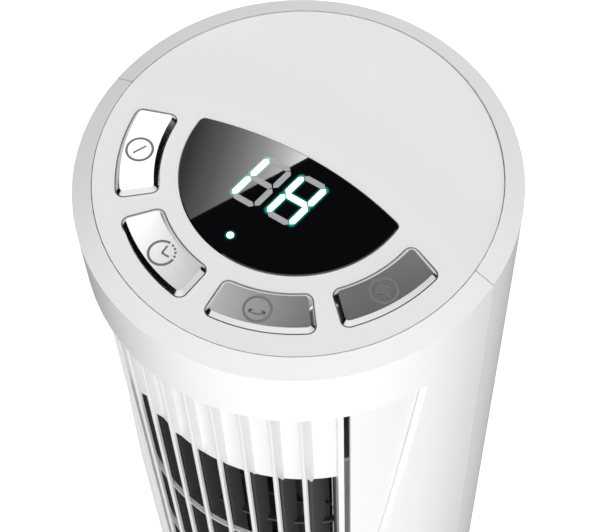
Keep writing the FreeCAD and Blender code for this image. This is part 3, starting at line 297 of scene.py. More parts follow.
@dataclass(frozen=True)
class Spangled(Finish):
    """Galvanised sheet with its flat crystals, each in a slightly different grey."""

    crystal: float = 0.006
    contrast: float = 0.18

    def paint(self, graph: Graph, place: Socket) -> Socket:
        """Colour of the crystals."""
        crystals = graph.cells(place, self.crystal).outputs["Color"]
        return self.between(graph, graph.grey(crystals), *self.shades(self.contrast))


@dataclass(frozen=True)
class Circuit(Finish):
    """Solder mask with copper tracks and tinned pads; their widths are shares of the track pitch."""

    track: float = 0.0032
    track_width: float = 0.12
    pad_width: float = 0.16
    covered_copper: Colour = (0.10, 0.42, 0.20)
    tin: Colour = (0.62, 0.62, 0.60)

    def paint(self, graph: Graph, place: Socket) -> Socket:
        """Mask, paler over the tracks, tinned at the pads.

        Args:
            graph: The material's nodes.
            place: Where on the board.

        Returns:
            The colour.
        """
        second, first = (
            graph.cells(place, self.track, distance="CHEBYCHEV", feature=rank).outputs["Distance"]
            for rank in ("F2", "F1"))
        tracks = graph.math("LESS_THAN", graph.math("SUBTRACT", second, first), self.track_width)
        pads = graph.math("LESS_THAN", first, self.pad_width)
        mask = self.between(graph, tracks, self.colour, self.covered_copper)
        return graph.blend(pads, mask, (*self.tin, 1.0))


@dataclass(frozen=True)
class GlowingLens(Finish):
    """Smoked gloss window that lights up softly round the lit marks under it."""

    marks: tuple[tuple[Point, Point], ...] = ()
    glow: Colour = (0.02, 0.85, 0.72)
    core: float = 0.0008
    reach: float = 0.0026
    strength: float = 0.45

    def extras(self, graph: Graph, shader: Node, place: Socket) -> None:
        """Add light that fades with the distance from the nearest lit mark.

        Args:
            graph: The material's nodes.
            shader: Its shader.
            place: Where on the lens.
        """
        flat = graph.vector("MULTIPLY", place, (1.0, 1.0, 0.0)).outputs[0]
        nearest: Any = 1.0
        for start, end in self.marks:
            nearest = graph.math("MINIMUM", nearest, self.away(graph, flat, start, end))
        fade = graph.remap(nearest, (self.core, self.reach), (1.0, 0.0), interpolation_type="SMOOTHERSTEP")
        light = graph.math("MULTIPLY", graph.math("POWER", fade, 2.0), self.strength)
        graph.tree.links.new(light, shader.inputs["Emission Strength"])
        shader.inputs["Emission Color"].default_value = (*self.glow, 1.0)

    def away(self, graph: Graph, flat: Socket, start: Point, end: Point) -> Socket:
        """Measure how far a place is from a line.

        Args:
            graph: The material's nodes.
            flat: The place, in plan.
            start: One end of the line.
            end: Its other end.

        Returns:
            The distance.
        """
        first, last = Vector((*start, 0.0)), Vector((*end, 0.0))
        run = last - first
        offset = graph.vector("SUBTRACT", flat, first).outputs[0]
        along = graph.vector("DOT_PRODUCT", offset, run / max(run.length_squared, 1e-9)).outputs["Value"]
        share = graph.add("ShaderNodeClamp", {0: along}).outputs[0]
        foot = graph.add("ShaderNodeVectorMath", {0: run, 3: share}, operation="SCALE").outputs[0]
        return graph.vector("DISTANCE", offset, foot).outputs["Value"]


@dataclass(frozen=True)
class Lit(Finish):
    """Surface that gives off an even light of its own."""

    glow: Colour = (1.0, 1.0, 1.0)
    light: float = 1.0

    def extras(self, graph: Graph, shader: Node, place: Socket) -> None:
        """Add the light."""
        shader.inputs["Emission Color"].default_value = (*self.glow, 1.0)
        shader.inputs["Emission Strength"].default_value = self.light


SHELL = Finish("shell_satin_white", (0.80, 0.805, 0.81), roughness=0.36, coat=0.12, grain_height=0.000004)
CAP = Finish("cap_satin_white", (0.80, 0.805, 0.81), roughness=0.42, grain_height=0.000005)
GRILLE = Finish("grille_silk_white", (0.76, 0.765, 0.77), roughness=0.3, grain_size=0.0004,
                grain_height=0.0000005)
LOUVRE = Finish("louvre_black", (0.010, 0.010, 0.011), roughness=0.45, grain_height=0.000008)
BASE_BLACK = Finish("base_black", (0.016, 0.016, 0.017), roughness=0.55, grain_height=0.00001)
WHEEL = Finish("wheel_black", (0.022, 0.022, 0.024), roughness=0.5, grain_height=0.00001)
CHROME = Brushed("key_satin_chrome", (0.80, 0.80, 0.81), roughness=0.12, metallic=1.0, mottle=0.01,
                 rough_spread=0.015, grain_size=0.0005, grain_height=0.0000008, axis=Axis.X, stretch=0.2)
ICON = Finish("icon_grey", (0.155, 0.155, 0.155), roughness=0.5, grain_height=0.000002)
UNLIT = Finish("segment_unlit", (0.37, 0.38, 0.38), roughness=0.25, mottle=0.04, mottle_size=0.004,
               grain_height=0.000002)
LIT = Lit("segment_lit", (0.80, 1.0, 0.97), roughness=0.3, grain_height=0.000002, glow=(0.80, 1.0, 0.97),
          light=2.4)
RUBBER = Finish("rubber_black", (0.022, 0.022, 0.022), roughness=0.7, mottle=0.12, grain_size=0.0012,
                grain_height=0.00003)
ACETAL = Finish("acetal_natural", (0.72, 0.71, 0.66), roughness=0.34, mottle=0.04)
DUCT = Finish("duct_white", (0.66, 0.67, 0.67), roughness=0.5, mottle=0.05, grain_height=0.00001)
ZINC = Brushed("screw_zinc", (0.60, 0.61, 0.64), roughness=0.26, metallic=1.0, mottle=0.12, mottle_size=0.002,
               grain_size=0.0004, grain_height=0.00001, axis=Axis.Z)
SHEET = Spangled("galvanised_sheet", (0.52, 0.53, 0.55), roughness=0.34, metallic=1.0, rough_spread=0.1,
                 mottle_size=0.02)
CORE = Lined("core_plates", (0.16, 0.16, 0.17), roughness=0.42, metallic=0.9, axis=Axis.Z, pitch=0.0008)
COPPER = Lined("coil_copper", (0.62, 0.26, 0.09), roughness=0.26, metallic=0.9, axis=Axis.Z, pitch=0.0006,
               line_depth=0.00012)
CAST = Finish("rotor_cast", (0.56, 0.57, 0.58), roughness=0.42, metallic=1.0, mottle=0.1, mottle_size=0.004,
              grain_size=0.0015, grain_height=0.00003)
BRONZE = Finish("bush_bronze", (0.50, 0.31, 0.13), roughness=0.4, metallic=1.0, mottle=0.14,
                mottle_size=0.002, grain_size=0.0004, grain_height=0.00001)
BOARD = Circuit("board_green", (0.012, 0.12, 0.045), roughness=0.3, grain_height=0.000004)
SWITCH = Finish("switch_black", (0.03, 0.03, 0.03), roughness=0.4)
MODULE = Finish("module_grey", (0.22, 0.22, 0.23), roughness=0.45)
CAPACITOR = Finish("capacitor_case", (0.36, 0.38, 0.42), roughness=0.35, mottle=0.05)
RIBBON = Lined("ribbon_grey", (0.42, 0.43, 0.45), roughness=0.5, axis=Axis.X, pitch=0.0013)
FLOOR = Lit("floor_pale", (0.93, 0.93, 0.93), roughness=0.9, mottle=0.004, light=0.7)


# ------------------------------------------------------------- mesh building
def arc(middle: Point, radius: float, start: float, end: float, steps: int) -> list[Point]:
    """Points along an arc in plan.

    Args:
        middle: The arc's centre.
        radius: Its radius.
        start: Angle of its first point, in degrees.
        end: Angle of its last point.
        steps: Number of equal steps between them.

    Returns:
        The points, both ends among them.
    """
    angles = [math.radians(start + (end - start) * index / steps) for index in range(steps + 1)]
    return [(middle[0] + radius * math.cos(a), middle[1] + radius * math.sin(a)) for a in angles]


class Shape:
    """Collects closed shapes and turns them into one piece."""

    def __init__(self) -> None:
        """Start empty."""
        self.mesh = bmesh.new()

    def prism(self, outline: Sequence[Point], low: float, high: float) -> None:
        """Upright prism over a convex outline.

        Args:
            outline: Corners in order, anticlockwise.
            low: Height of its underside.
            high: Height of its top.
        """
        under = [self.mesh.verts.new((x, y, low)) for x, y in outline]
        over = [self.mesh.verts.new((x, y, high)) for x, y in outline]
        self.mesh.faces.new(list(reversed(under)))
        self.mesh.faces.new(over)
        for index in range(len(outline)):
            after = (index + 1) % len(outline)
            self.mesh.faces.new((under[index], under[after], over[after], over[index]))

    def ribbon(self, path: Sequence[Point], width: float, low: float, high: float,
               closed: bool = False) -> None:
        """Flat band of even width along a path.

        Args:
            path: Points along its middle.
            width: Width across the path.
            low: Height of its underside.
            high: Height of its top.
            closed: Whether the last point joins the first.
        """
        count = len(path)
        rows = []
        for index, (x, y) in enumerate(path):
            before = path[index - 1] if (closed or index) else path[0]
            after = path[(index + 1) % count] if (closed or index < count - 1) else path[-1]
            run = Vector((after[0] - before[0], after[1] - before[1])).normalized()
            side = Vector((-run.y, run.x)) * width / 2
            rows.append([self.mesh.verts.new((x + side.x * way, y + side.y * way, z))
                         for way, z in ((-1, low), (1, low), (1, high), (-1, high))])
        for index in range(count if closed else count - 1):
            here, there = rows[index], rows[(index + 1) % count]
            for edge in range(4):
                after = (edge + 1) % 4
                self.mesh.faces.new((here[edge], there[edge], there[after], here[after]))
        if not closed:
            self.mesh.faces.new(rows[0])
            self.mesh.faces.new(list(reversed(rows[-1])))

    def slab(self, inner: float, outer: float, start: float, end: float, low: float, high: float,
             steps: int = 48) -> None:
        """Curved slab about the upright axis.

        Args:
            inner: Radius of its inner face.
            outer: Radius of its outer face.
            start: Azimuth of one end, in degrees.
            end: Azimuth of the other end.
            low: Height of its underside.
            high: Height of its top.
            steps: Number of flats along it.
        """
        self.ribbon(arc((0.0, 0.0), (inner + outer) / 2, start, end, steps), outer - inner, low, high)

    def ring(self, middle: Point, radius: float, width: float, low: float, high: float,
             steps: int = 48) -> None:
        """Flat ring about a point; the radius is that of its middle line."""
        self.ribbon(arc(middle, radius, 0.0, 360.0, steps)[:-1], width, low, high, closed=True)

    def disc(self, middle: Point, radius: float, low: float, high: float, steps: int = 24) -> None:
        """Round prism about a point."""
        self.prism(arc(middle, radius, 0.0, 360.0, steps)[:-1], low, high)

    def data(self, name: str) -> Mesh:
        """Finish the shapes, which ends this collection.

        Args:
            name: The mesh's name.

        Returns:
            One mesh of them all, with its faces outward.
        """
        bmesh.ops.recalc_face_normals(self.mesh, faces=self.mesh.faces)
        made = bpy.data.meshes.new(name)
        self.mesh.to_mesh(made)
        self.mesh.free()
        return made


def show(name: str, mesh: Mesh, finish: Finish) -> Piece:
    """Put a mesh into the scene as a piece in its finish.

    Args:
        name: The piece's name.
        mesh: Its mesh, already in place.
        finish: The finish it wears.

    Returns:
        The new object.
    """
    piece = bpy.data.objects.new(name, mesh)
    bpy.context.scene.collection.objects.link(piece)
    wear(mesh, finish)
    return piece


def wear(mesh: Mesh, finish: Finish) -> None:
    """Give a mesh one finish all over."""
    mesh.materials.clear()
    mesh.materials.append(finish.material())


def dress(nodes: Iterable[str], finish: Finish) -> None:
    """Give carried-over nodes their finish.

    Args:
        nodes: Names of the nodes.
        finish: The finish they wear.
    """
    for name in nodes:
        wear(frame["nodes"][name].data, finish)
    LOG.info("%s on %s", finish.name, ", ".join(nodes))


# ------------------------------------------------------------ growing trees
class GrowTree:
    """A geometry node tree with named inputs that repeats or builds a shape."""

    SOCKETS = {"length": "NodeSocketFloat", "angle": "NodeSocketFloat", "count": "NodeSocketInt",
               "finish": "NodeSocketMaterial"}

    def __init__(self, name: str, inputs: dict[str, str]) -> None:
        """Make the tree's interface.

        Args:
            name: The tree's name.
            inputs: Kind of each named input.
        """
        self.tree = bpy.data.node_groups.new(name, "GeometryNodeTree")
        face = self.tree.interface
        face.new_socket("Seed shape", in_out="INPUT", socket_type="NodeSocketGeometry")
        self.ids = {label: face.new_socket(label, in_out="INPUT", socket_type=self.SOCKETS[kind]).identifier
                    for label, kind in inputs.items()}
        face.new_socket("Shape", in_out="OUTPUT", socket_type="NodeSocketGeometry")
        self.graph = Graph(self.tree)
        self.entry = self.graph.add("NodeGroupInput")

    def given(self, label: str) -> Socket:
        """Socket of one named input."""
        return self.entry.outputs[label]

    def repeat(self, count: Socket, spot: Socket, **more: Socket) -> None:
        """Set the seed shape at a number of points, and end the tree.

        Args:
            count: How many points.
            spot: Where each one is, from its index.
            **more: Other inputs of the instances, such as their Rotation.
        """
        points = self.graph.add("GeometryNodePoints", {"Count": count}).outputs[0]
        placed = self.graph.add("GeometryNodeSetPosition", {"Geometry": points, "Position": spot}).outputs[0]
        self.close(placed, self.given("Seed shape"), **more)

    def close(self, points: Socket, shape: Socket, **more: Socket) -> None:
        """Instance a shape on points, realize it, set its finish and end the tree.

        Args:
            points: Where the shapes go.
            shape: The shape at each of them.
            **more: Other inputs of the instances, such as their Rotation.
        """
        copies = self.graph.add("GeometryNodeInstanceOnPoints", {"Points": points, "Instance": shape, **more})
        real = self.graph.add("GeometryNodeRealizeInstances", {0: copies.outputs[0]}).outputs[0]
        painted = self.graph.add("GeometryNodeSetMaterial", {
            "Geometry": real, "Material": self.given("Finish")})
        self.graph.add("NodeGroupOutput", {0: painted.outputs[0]})

    def index(self) -> Socket:
        """Number of each point, from 0."""
        return self.graph.add("GeometryNodeInputIndex").outputs[0]

    def grow(self, name: str, seed: Mesh, values: dict[str, Any]) -> Mesh:
        """Run the tree on a seed mesh.

        Args:
            name: Name of the mesh it makes.
            seed: The mesh that the tree starts from.
            values: A value for each named input.

        Returns:
            The result as a plain mesh.
        """
        holder = bpy.data.objects.new(name + "_seed", seed)
        bpy.context.scene.collection.objects.link(holder)
        modifier = holder.modifiers.new("grow", "NODES")
        modifier.node_group = self.tree
        for label, value in values.items():
            modifier[self.ids[label]] = value
        graph = bpy.context.evaluated_depsgraph_get()
        made = bpy.data.meshes.new_from_object(holder.evaluated_get(graph), depsgraph=graph)
        made.name = name
        holder.modifiers.clear()
        bpy.data.objects.remove(holder)
        return made


class FinArray(GrowTree):
    """Repeats one upright fin along a round front, all of them facing the same way."""

    def __init__(self) -> None:
        """Build the tree."""
        super().__init__("fin_array", {"Fins": "count", "Step": "angle", "Front radius": "length",
                                       "Finish": "finish"})
        graph, radius = self.graph, self.given("Front radius")
        middle = graph.math("MULTIPLY", graph.math("SUBTRACT", self.given("Fins"), 1.0), 0.5)
        angle = graph.math("MULTIPLY", graph.math("SUBTRACT", self.index(), middle), self.given("Step"))
        across = graph.math("MULTIPLY", graph.math("SINE", angle), radius)
        back = graph.math("MULTIPLY", graph.math("SUBTRACT", 1.0, graph.math("COSINE", angle)), radius)
        self.repeat(self.given("Fins"), graph.xyz(across, back))


class StackArray(GrowTree):
    """Repeats one shape upward at an even pitch, or downward at a negative one."""

    def __init__(self) -> None:
        """Build the tree."""
        super().__init__("stack_array", {"Rows": "count", "Pitch": "length", "Finish": "finish"})
        lift = self.graph.math("MULTIPLY", self.index(), self.given("Pitch"))
        self.repeat(self.given("Rows"), self.graph.xyz(z=lift))


class WheelArray(GrowTree):
    """Repeats one blade round an upright axis."""

    def __init__(self) -> None:
        """Build the tree."""
        super().__init__("wheel_array", {"Blades": "count", "Axis behind centre": "length",
                                         "Finish": "finish"})
        graph = self.graph
        share = graph.math("DIVIDE", self.index(), self.given("Blades"))
        turn = graph.xyz(z=graph.math("MULTIPLY", share, 2 * math.pi))
        facing = graph.add("FunctionNodeEulerToRotation", {0: turn}).outputs[0]
        self.repeat(self.given("Blades"), graph.xyz(y=self.given("Axis behind centre")), Rotation=facing)


class ScrewField(GrowTree):
    """Sets a cross-recessed pan-head screw at each point, its head towards the point's aim."""

    CROWN = 0.74  # share of the head's radius that its flat top has
    CROSS = 1.15  # length of the cross, as a share of the head's radius
    HEAD_SIDES = 32
    SHANK_SIDES = 16

    def __init__(self) -> None:
        """Build the tree."""
        super().__init__("screw_field", {
            "Head radius": "length", "Head height": "length", "Shank radius": "length",
            "Shank length": "length", "Recess width": "length", "Finish": "finish"})
        graph = self.graph
        whole = graph.add("GeometryNodeJoinGeometry", {0: self.head()})
        graph.tree.links.new(self.shank(), whole.inputs[0])
        aim = graph.add("GeometryNodeInputNamedAttribute", {"Name": "aim"},
                        data_type="FLOAT_VECTOR").outputs[0]
        facing = graph.add("FunctionNodeAlignRotationToVector", {"Vector": aim}, axis="Z").outputs[0]
        self.close(self.given("Seed shape"), whole.outputs[0], Rotation=facing)

    def moved(self, shape: Node, lift: Socket) -> Socket:
        """A shape moved up by a height."""
        return self.graph.add("GeometryNodeTransform", {
            "Geometry": shape.outputs[0], "Translation": self.graph.xyz(z=lift)}).outputs[0]

    def head(self) -> Socket:
        """Make the head.

        Returns:
            A short cone with a cross cut into its top.
        """
        graph, radius, height = self.graph, self.given("Head radius"), self.given("Head height")
        shape = graph.add("GeometryNodeMeshCone", {
            "Vertices": self.HEAD_SIDES, "Radius Top": graph.math("MULTIPLY", radius, self.CROWN),
            "Radius Bottom": radius, "Depth": height}).outputs[0]
        length, width = graph.math("MULTIPLY", radius, self.CROSS), self.given("Recess width")
        for size in (graph.xyz(length, width, height), graph.xyz(width, length, height)):
            slot = self.moved(graph.add("GeometryNodeMeshCube", {"Size": size}), height)
            shape = graph.add("GeometryNodeMeshBoolean", {"Mesh 1": shape, "Mesh 2": slot},
                              operation="DIFFERENCE").outputs[0]
        return shape

    def shank(self) -> Socket:
        """Make the round shank below the head.

        Returns:
            A cylinder.
        """
        shape = self.graph.add("GeometryNodeMeshCylinder", {
            "Vertices": self.SHANK_SIDES, "Radius": self.given("Shank radius"),
            "Depth": self.given("Shank length")})
        return self.moved(shape, self.graph.math("MULTIPLY", self.given("Shank length"), -0.5))


# ------------------------------------------------------------ sub-assemblies
@dataclass
class Shell:
    """White casings of the column, the base and the parts seen at their joints."""

    def build(self) -> None:
        """Dress the shell's own nodes."""
        dress(["front_casing", "rear_casing", "base_cover"], SHELL)
        dress(["top_cap"], CAP)
        dress(["grille_surround"], GRILLE)
        dress(["column_foot", "blower_top_plate", "scroll_wall", "tongue_wall"], DUCT)
        dress(["base_plate"], BASE_BLACK)
        dress(["rubber_feet", "cord_grommet"], RUBBER)


@dataclass
class Grille:
    """White front grille and the black ribs behind it.

    step, reach, rail and bar_inset are angles in degrees; bar_back and bar_front are measured from fin_back.
    """

    front: float = 76.0 * MM
    fin_back: float = 74.4 * MM
    floor: float = 71.6 * MM
    wall_back: float = 70.2 * MM
    fins: int = 9
    step: float = 8.4
    fin_width: float = 1.6 * MM
    nose: float = 0.45 * MM
    reach: float = 45.4
    rail: float = 43.7
    pocket_low: float = 653.0 * MM
    ramp_top: float = 661.6 * MM
    blind_bottom: float = 150.0 * MM
    bars: int = 7
    bar_pitch: float = 62.0 * MM
    bar_height: float = 0.9 * MM
    bar_back: float = 1.4 * MM
    bar_front: float = 0.4 * MM
    bar_inset: float = 0.5

    def build(self) -> None:
        """Build the fins, bars, pocket walls and rails as one piece."""
        low, high = (corner.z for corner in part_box("front_grille"))
        fins = FinArray().grow("fins", self.fin(low, high), {
            "Fins": self.fins, "Step": math.radians(self.step), "Front radius": self.front,
            "Finish": GRILLE.material()})
        bars = StackArray().grow("bars", self.bar(), {
            "Rows": self.bars, "Pitch": -self.bar_pitch, "Finish": GRILLE.material()})
        body = Shape()
        for edge, top in ((self.pocket_low, high), (low, self.blind_bottom)):
            body.slab(self.wall_back, self.floor, FRONT - self.reach, FRONT + self.reach, edge, top)
        for start in (FRONT - self.reach, FRONT + self.rail):
            body.slab(self.wall_back, self.front, start, start + self.reach - self.rail, low, high, steps=3)
        for part in (fins, bars):
            body.mesh.from_mesh(part)
        piece = show("grille_front", body.data("grille_front"), GRILLE)
        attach(piece, "column")
        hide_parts("front_grille")
        dress(["inner_louvre"], LOUVRE)
        LOG.info("grille with %d fins", self.fins)

    def fin(self, low: float, high: float) -> Mesh:
        """Make the middle fin: a shallow strip, deeper over the closed ends, with a rounded nose.

        Args:
            low: Height of its foot.
            high: Height of its head.

        Returns:
            Its mesh.
        """
        side = [(self.front, low), (self.front, high), (self.wall_back, high),
                (self.wall_back, self.pocket_low), (self.floor, self.pocket_low),
                (self.fin_back, self.ramp_top), (self.fin_back, self.blind_bottom),
                (self.wall_back, self.blind_bottom), (self.wall_back, low)]
        mesh = bmesh.new()
        left = [mesh.verts.new((-self.fin_width / 2, -reach, z)) for reach, z in side]
        face = mesh.faces.new(left)
        grown = bmesh.ops.extrude_face_region(mesh, geom=[face])
        moved = [item for item in grown["geom"] if isinstance(item, bmesh.types.BMVert)]
        bmesh.ops.translate(mesh, vec=(self.fin_width, 0, 0), verts=moved)
        noses = [edge for edge in mesh.edges
                 if all(abs(v.co.y + self.front) < 1e-6 for v in edge.verts)
                 and abs(edge.verts[0].co.z - edge.verts[1].co.z) > 0.1]
        bmesh.ops.bevel(mesh, geom=noses, offset=self.nose, segments=3, profile=0.5, affect="EDGES")
        bmesh.ops.recalc_face_normals(mesh, faces=mesh.faces)
        made = bpy.data.meshes.new("fin")
        mesh.to_mesh(made)
        mesh.free()
        return made

    def bar(self) -> Mesh:
        """Make the uppermost cross bar.

        Returns:
            Its mesh.
        """
        under = self.pocket_low - self.bar_pitch
        half = self.reach - self.bar_inset
        shape = Shape()
        shape.slab(self.fin_back - self.bar_back, self.fin_back + self.bar_front, FRONT - half, FRONT + half,
                   under, under + self.bar_height)
        return shape.data("bar")


class Segment(Enum):
    """The seven bars of a digit."""

    TOP = "top"
    MIDDLE = "middle"
    BOTTOM = "bottom"
    UPPER_LEFT = "upper_left"
    UPPER_RIGHT = "upper_right"
    LOWER_LEFT = "lower_left"
    LOWER_RIGHT = "lower_right"


@dataclass(frozen=True)
class Digit:
    """One slanted seven-bar digit: its lower left corner, size and lit bars."""

    x: float
    y: float
    lit: frozenset[Segment]
    width: float = 9.4 * MM
    height: float = 19.1 * MM
    slant: float = 2.5 * MM

    def joint(self, column: float, row: float) -> Point:
        """Meeting point of bars, from 0 to 1 across and up the digit."""
        return (self.x + self.width * column + self.slant * row, self.y + self.height * row)

    def ends(self, segment: Segment) -> tuple[Point, Point]:
        """Find where a bar runs.

        Args:
            segment: The bar.

        Returns:
            The two meeting points that it runs between.
        """
        spans = {
            Segment.TOP: ((0, 1), (1, 1)), Segment.MIDDLE: ((0, 0.5), (1, 0.5)),
            Segment.BOTTOM: ((0, 0), (1, 0)), Segment.UPPER_LEFT: ((0, 0.5), (0, 1)),
            Segment.UPPER_RIGHT: ((1, 0.5), (1, 1)), Segment.LOWER_LEFT: ((0, 0), (0, 0.5)),
            Segment.LOWER_RIGHT: ((1, 0), (1, 0.5))}
        start, end = spans[segment]
        return self.joint(*start), self.joint(*end)


@dataclass
class Display:
    """Smoked lens with its two digits and the small lamp."""

    stroke: float = 2.25 * MM
    gap: float = 0.3 * MM
    film: float = 0.06 * MM
    lamp: Point = (-4.9 * MM, -34.1 * MM)
    lamp_radius: float = 1.25 * MM
    lamp_run: float = 0.01 * MM
    digits: tuple[Digit, ...] = (
        Digit(-14.0 * MM, -20.0 * MM, frozenset({Segment.UPPER_LEFT, Segment.LOWER_LEFT})),
        Digit(0.4 * MM, -19.5 * MM, frozenset({Segment.UPPER_LEFT, Segment.UPPER_RIGHT, Segment.MIDDLE,
                                               Segment.LOWER_LEFT, Segment.LOWER_RIGHT})),
    )

    def build(self) -> None:
        """Build the marks and dress the lens round them."""
        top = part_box("display_lens")[1].z
        lit, unlit, marks = Shape(), Shape(), []
        for digit in self.digits:
            for segment in Segment:
                start, end = digit.ends(segment)
                on = segment in digit.lit
                (lit if on else unlit).prism(self.bar(start, end), top, top + self.film)
                if on:
                    marks.append(self.shortened(start, end))
        lit.disc(self.lamp, self.lamp_radius, top, top + self.film)
        marks.append((self.lamp, (self.lamp[0] + self.lamp_run, self.lamp[1])))
        for name, shape, finish in (("display_marks_lit", lit, LIT), ("display_marks_unlit", unlit, UNLIT)):
            piece = show(name, shape.data(name), finish)
            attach(piece, "column")
        lens = GlowingLens("lens_smoked", (0.0035, 0.0036, 0.004), roughness=0.012, ior=1.9, mottle=0.05,
                           rough_spread=0.004, grain_height=0.00000004, marks=tuple(marks))
        dress(["display_lens"], lens)
        dress(["display_module"], MODULE)
        LOG.info("display with %d lit marks", len(marks))

    def shortened(self, start: Point, end: Point) -> tuple[Point, Point]:
        """Shorten a line by half a stroke at both ends.

        Args:
            start: One end.
            end: The other end.

        Returns:
            The two new ends.
        """
        first, last = Vector(start), Vector(end)
        back = (last - first).normalized() * self.stroke / 2
        return tuple(first + back), tuple(last - back)

    def bar(self, start: Point, end: Point) -> list[Point]:
        """Outline one bar: six sided, pointed towards its neighbours.

        Args:
            start: The meeting point at one end.
            end: The meeting point at the other end.

        Returns:
            Its corners.
        """
        first, last = Vector(start), Vector(end)
        run = (last - first).normalized()
        side = Vector((-run.y, run.x)) * self.stroke / 2
        tip, shoulder = run * self.gap, run * (self.gap + self.stroke * 0.5)
        corners = [first + tip, first + shoulder - side, last - shoulder - side, last - tip,
                   last - shoulder + side, first + shoulder + side]
        return [(corner.x, corner.y) for corner in corners]


@dataclass
class Keys:
    """Four chrome keys with their marks.

    places holds each key's azimuth in degrees; thin and fine are shares of the stroke.
    """

    middle: float = 56.8 * MM
    places: dict[str, float] = field(default_factory=lambda: {
        "power": -156.0, "timer": -110.6, "swing": -69.6, "speed": -25.2})
    ring: float = 4.7 * MM
    stroke: float = 0.95 * MM
    thin: float = 0.8
    fine: float = 0.6
    film: float = 0.03 * MM

    def build(self) -> None:
        """Dress the keys and put a mark on each."""
        dress([name + "_button" for name in self.places], CHROME)
        dress([name + "_plunger" for name in self.places], SWITCH)
        for name, azimuth in self.places.items():
            angle = math.radians(azimuth)
            centre = (self.middle * math.cos(angle), self.middle * math.sin(angle))
            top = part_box(name + "_button")[1].z
            shape = Shape()
            getattr(self, name)(shape, centre, top)
            piece = show(name + "_mark", shape.data(name + "_mark"), ICON)
            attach(piece, name + "_key")
            LOG.info("mark on the %s key", name)

    def line(self, shape: Shape, centre: Point, top: float, path: Sequence[Point], turn: float = 0.0,
             share: float = 1.0) -> None:
        """Draw a line on a key.

        Args:
            shape: The mark that it is added to.
            centre: Middle of the mark.
            top: Height of the key's face.
            path: Points along the line, about the middle.
            turn: Turn about the middle, in degrees.
            share: Its width, as a share of the stroke.
        """
        c, s = math.cos(math.radians(turn)), math.sin(math.radians(turn))
        moved = [(centre[0] + x * c - y * s, centre[1] + x * s + y * c) for x, y in path]
        shape.ribbon(moved, self.stroke * share, top, top + self.film)

    def bend(self, shape: Shape, centre: Point, top: float, path: Sequence[Point], turn: float = 0.0,
             share: float = 1.0) -> None:
        """Draw straight lines that meet at sharp corners; the arguments are those of line."""
        for pair in zip(path, path[1:]):
            self.line(shape, centre, top, pair, turn, share)

    def power(self, shape: Shape, centre: Point, top: float) -> None:
        """Draw a circle with a short stroke through it.

        Args:
            shape: The mark.
            centre: Its middle.
            top: Height of the key's face.
        """
        half, turn = 2.7 * MM, 66.0
        shape.ring(centre, self.ring, self.stroke, top, top + self.film)
        self.line(shape, centre, top, [(-half, 0), (half, 0)], turn, self.thin)

    def timer(self, shape: Shape, centre: Point, top: float) -> None:
        """Draw three quarters of a dial, its last quarter in dots, and two hands.

        Args:
            shape: The mark.
            centre: Its middle.
            top: Height of the key's face.
        """
        dial_start, first_dot, dot_step, dot_share = 88.0, 14, 19, 0.52
        minute_hand, hour_hand = 3.4 * MM, 3.0 * MM
        self.line(shape, centre, top, arc((0.0, 0.0), self.ring, dial_start, 360.0, 36))
        for degrees in range(first_dot, int(dial_start), dot_step):
            spot = arc(centre, self.ring, degrees, 360.0, 1)[0]
            shape.disc(spot, self.stroke * dot_share, top, top + self.film, 12)
        self.bend(shape, centre, top, [(0.0, minute_hand), (0.0, 0.0), (hour_hand, 0.0)], share=self.thin)

    def swing(self, shape: Shape, centre: Point, top: float) -> None:
        """Draw a circle round a bowed arrow with a head at both ends.

        Args:
            shape: The mark.
            centre: Its middle.
            top: Height of the key's face.
        """
        turn, half_width, depth, rise = 22.0, 3.2 * MM, 2.8 * MM, 0.9 * MM
        barb_in, barb_up, barb_side, barb_down = 1.3 * MM, 0.25 * MM, 0.1 * MM, 1.3 * MM
        shape.ring(centre, self.ring, self.stroke, top, top + self.film)
        bow = [(half_width * x, rise + depth * y) for x, y in arc((0.0, 0.0), 1.0, 214.0, 326.0, 20)]
        self.line(shape, centre, top, bow, turn, self.thin)
        for (x, y), way in ((bow[0], 1), (bow[-1], -1)):
            head = [(x + barb_in * way, y + barb_up), (x, y), (x + barb_side * way, y - barb_down)]
            self.bend(shape, centre, top, head, turn, self.fine)

    def speed(self, shape: Shape, centre: Point, top: float) -> None:
        """Draw a circle round three waves of air.

        Args:
            shape: The mark.
            centre: Its middle.
            top: Height of the key's face.
        """
        turn, width, lift, skew, steps = 18.0, 5.2 * MM, 0.8 * MM, 0.8, 16
        pitch, drop = 1.3 * MM, 0.4 * MM
        shape.ring(centre, self.ring, self.stroke, top, top + self.film)
        for row in (-1, 0, 1):
            wave = [((share - 0.5) * width, row * pitch - drop + lift * math.sin(math.pi * share ** skew))
                    for share in (index / steps for index in range(steps + 1))]
            self.line(shape, centre, top, wave, turn, self.fine)


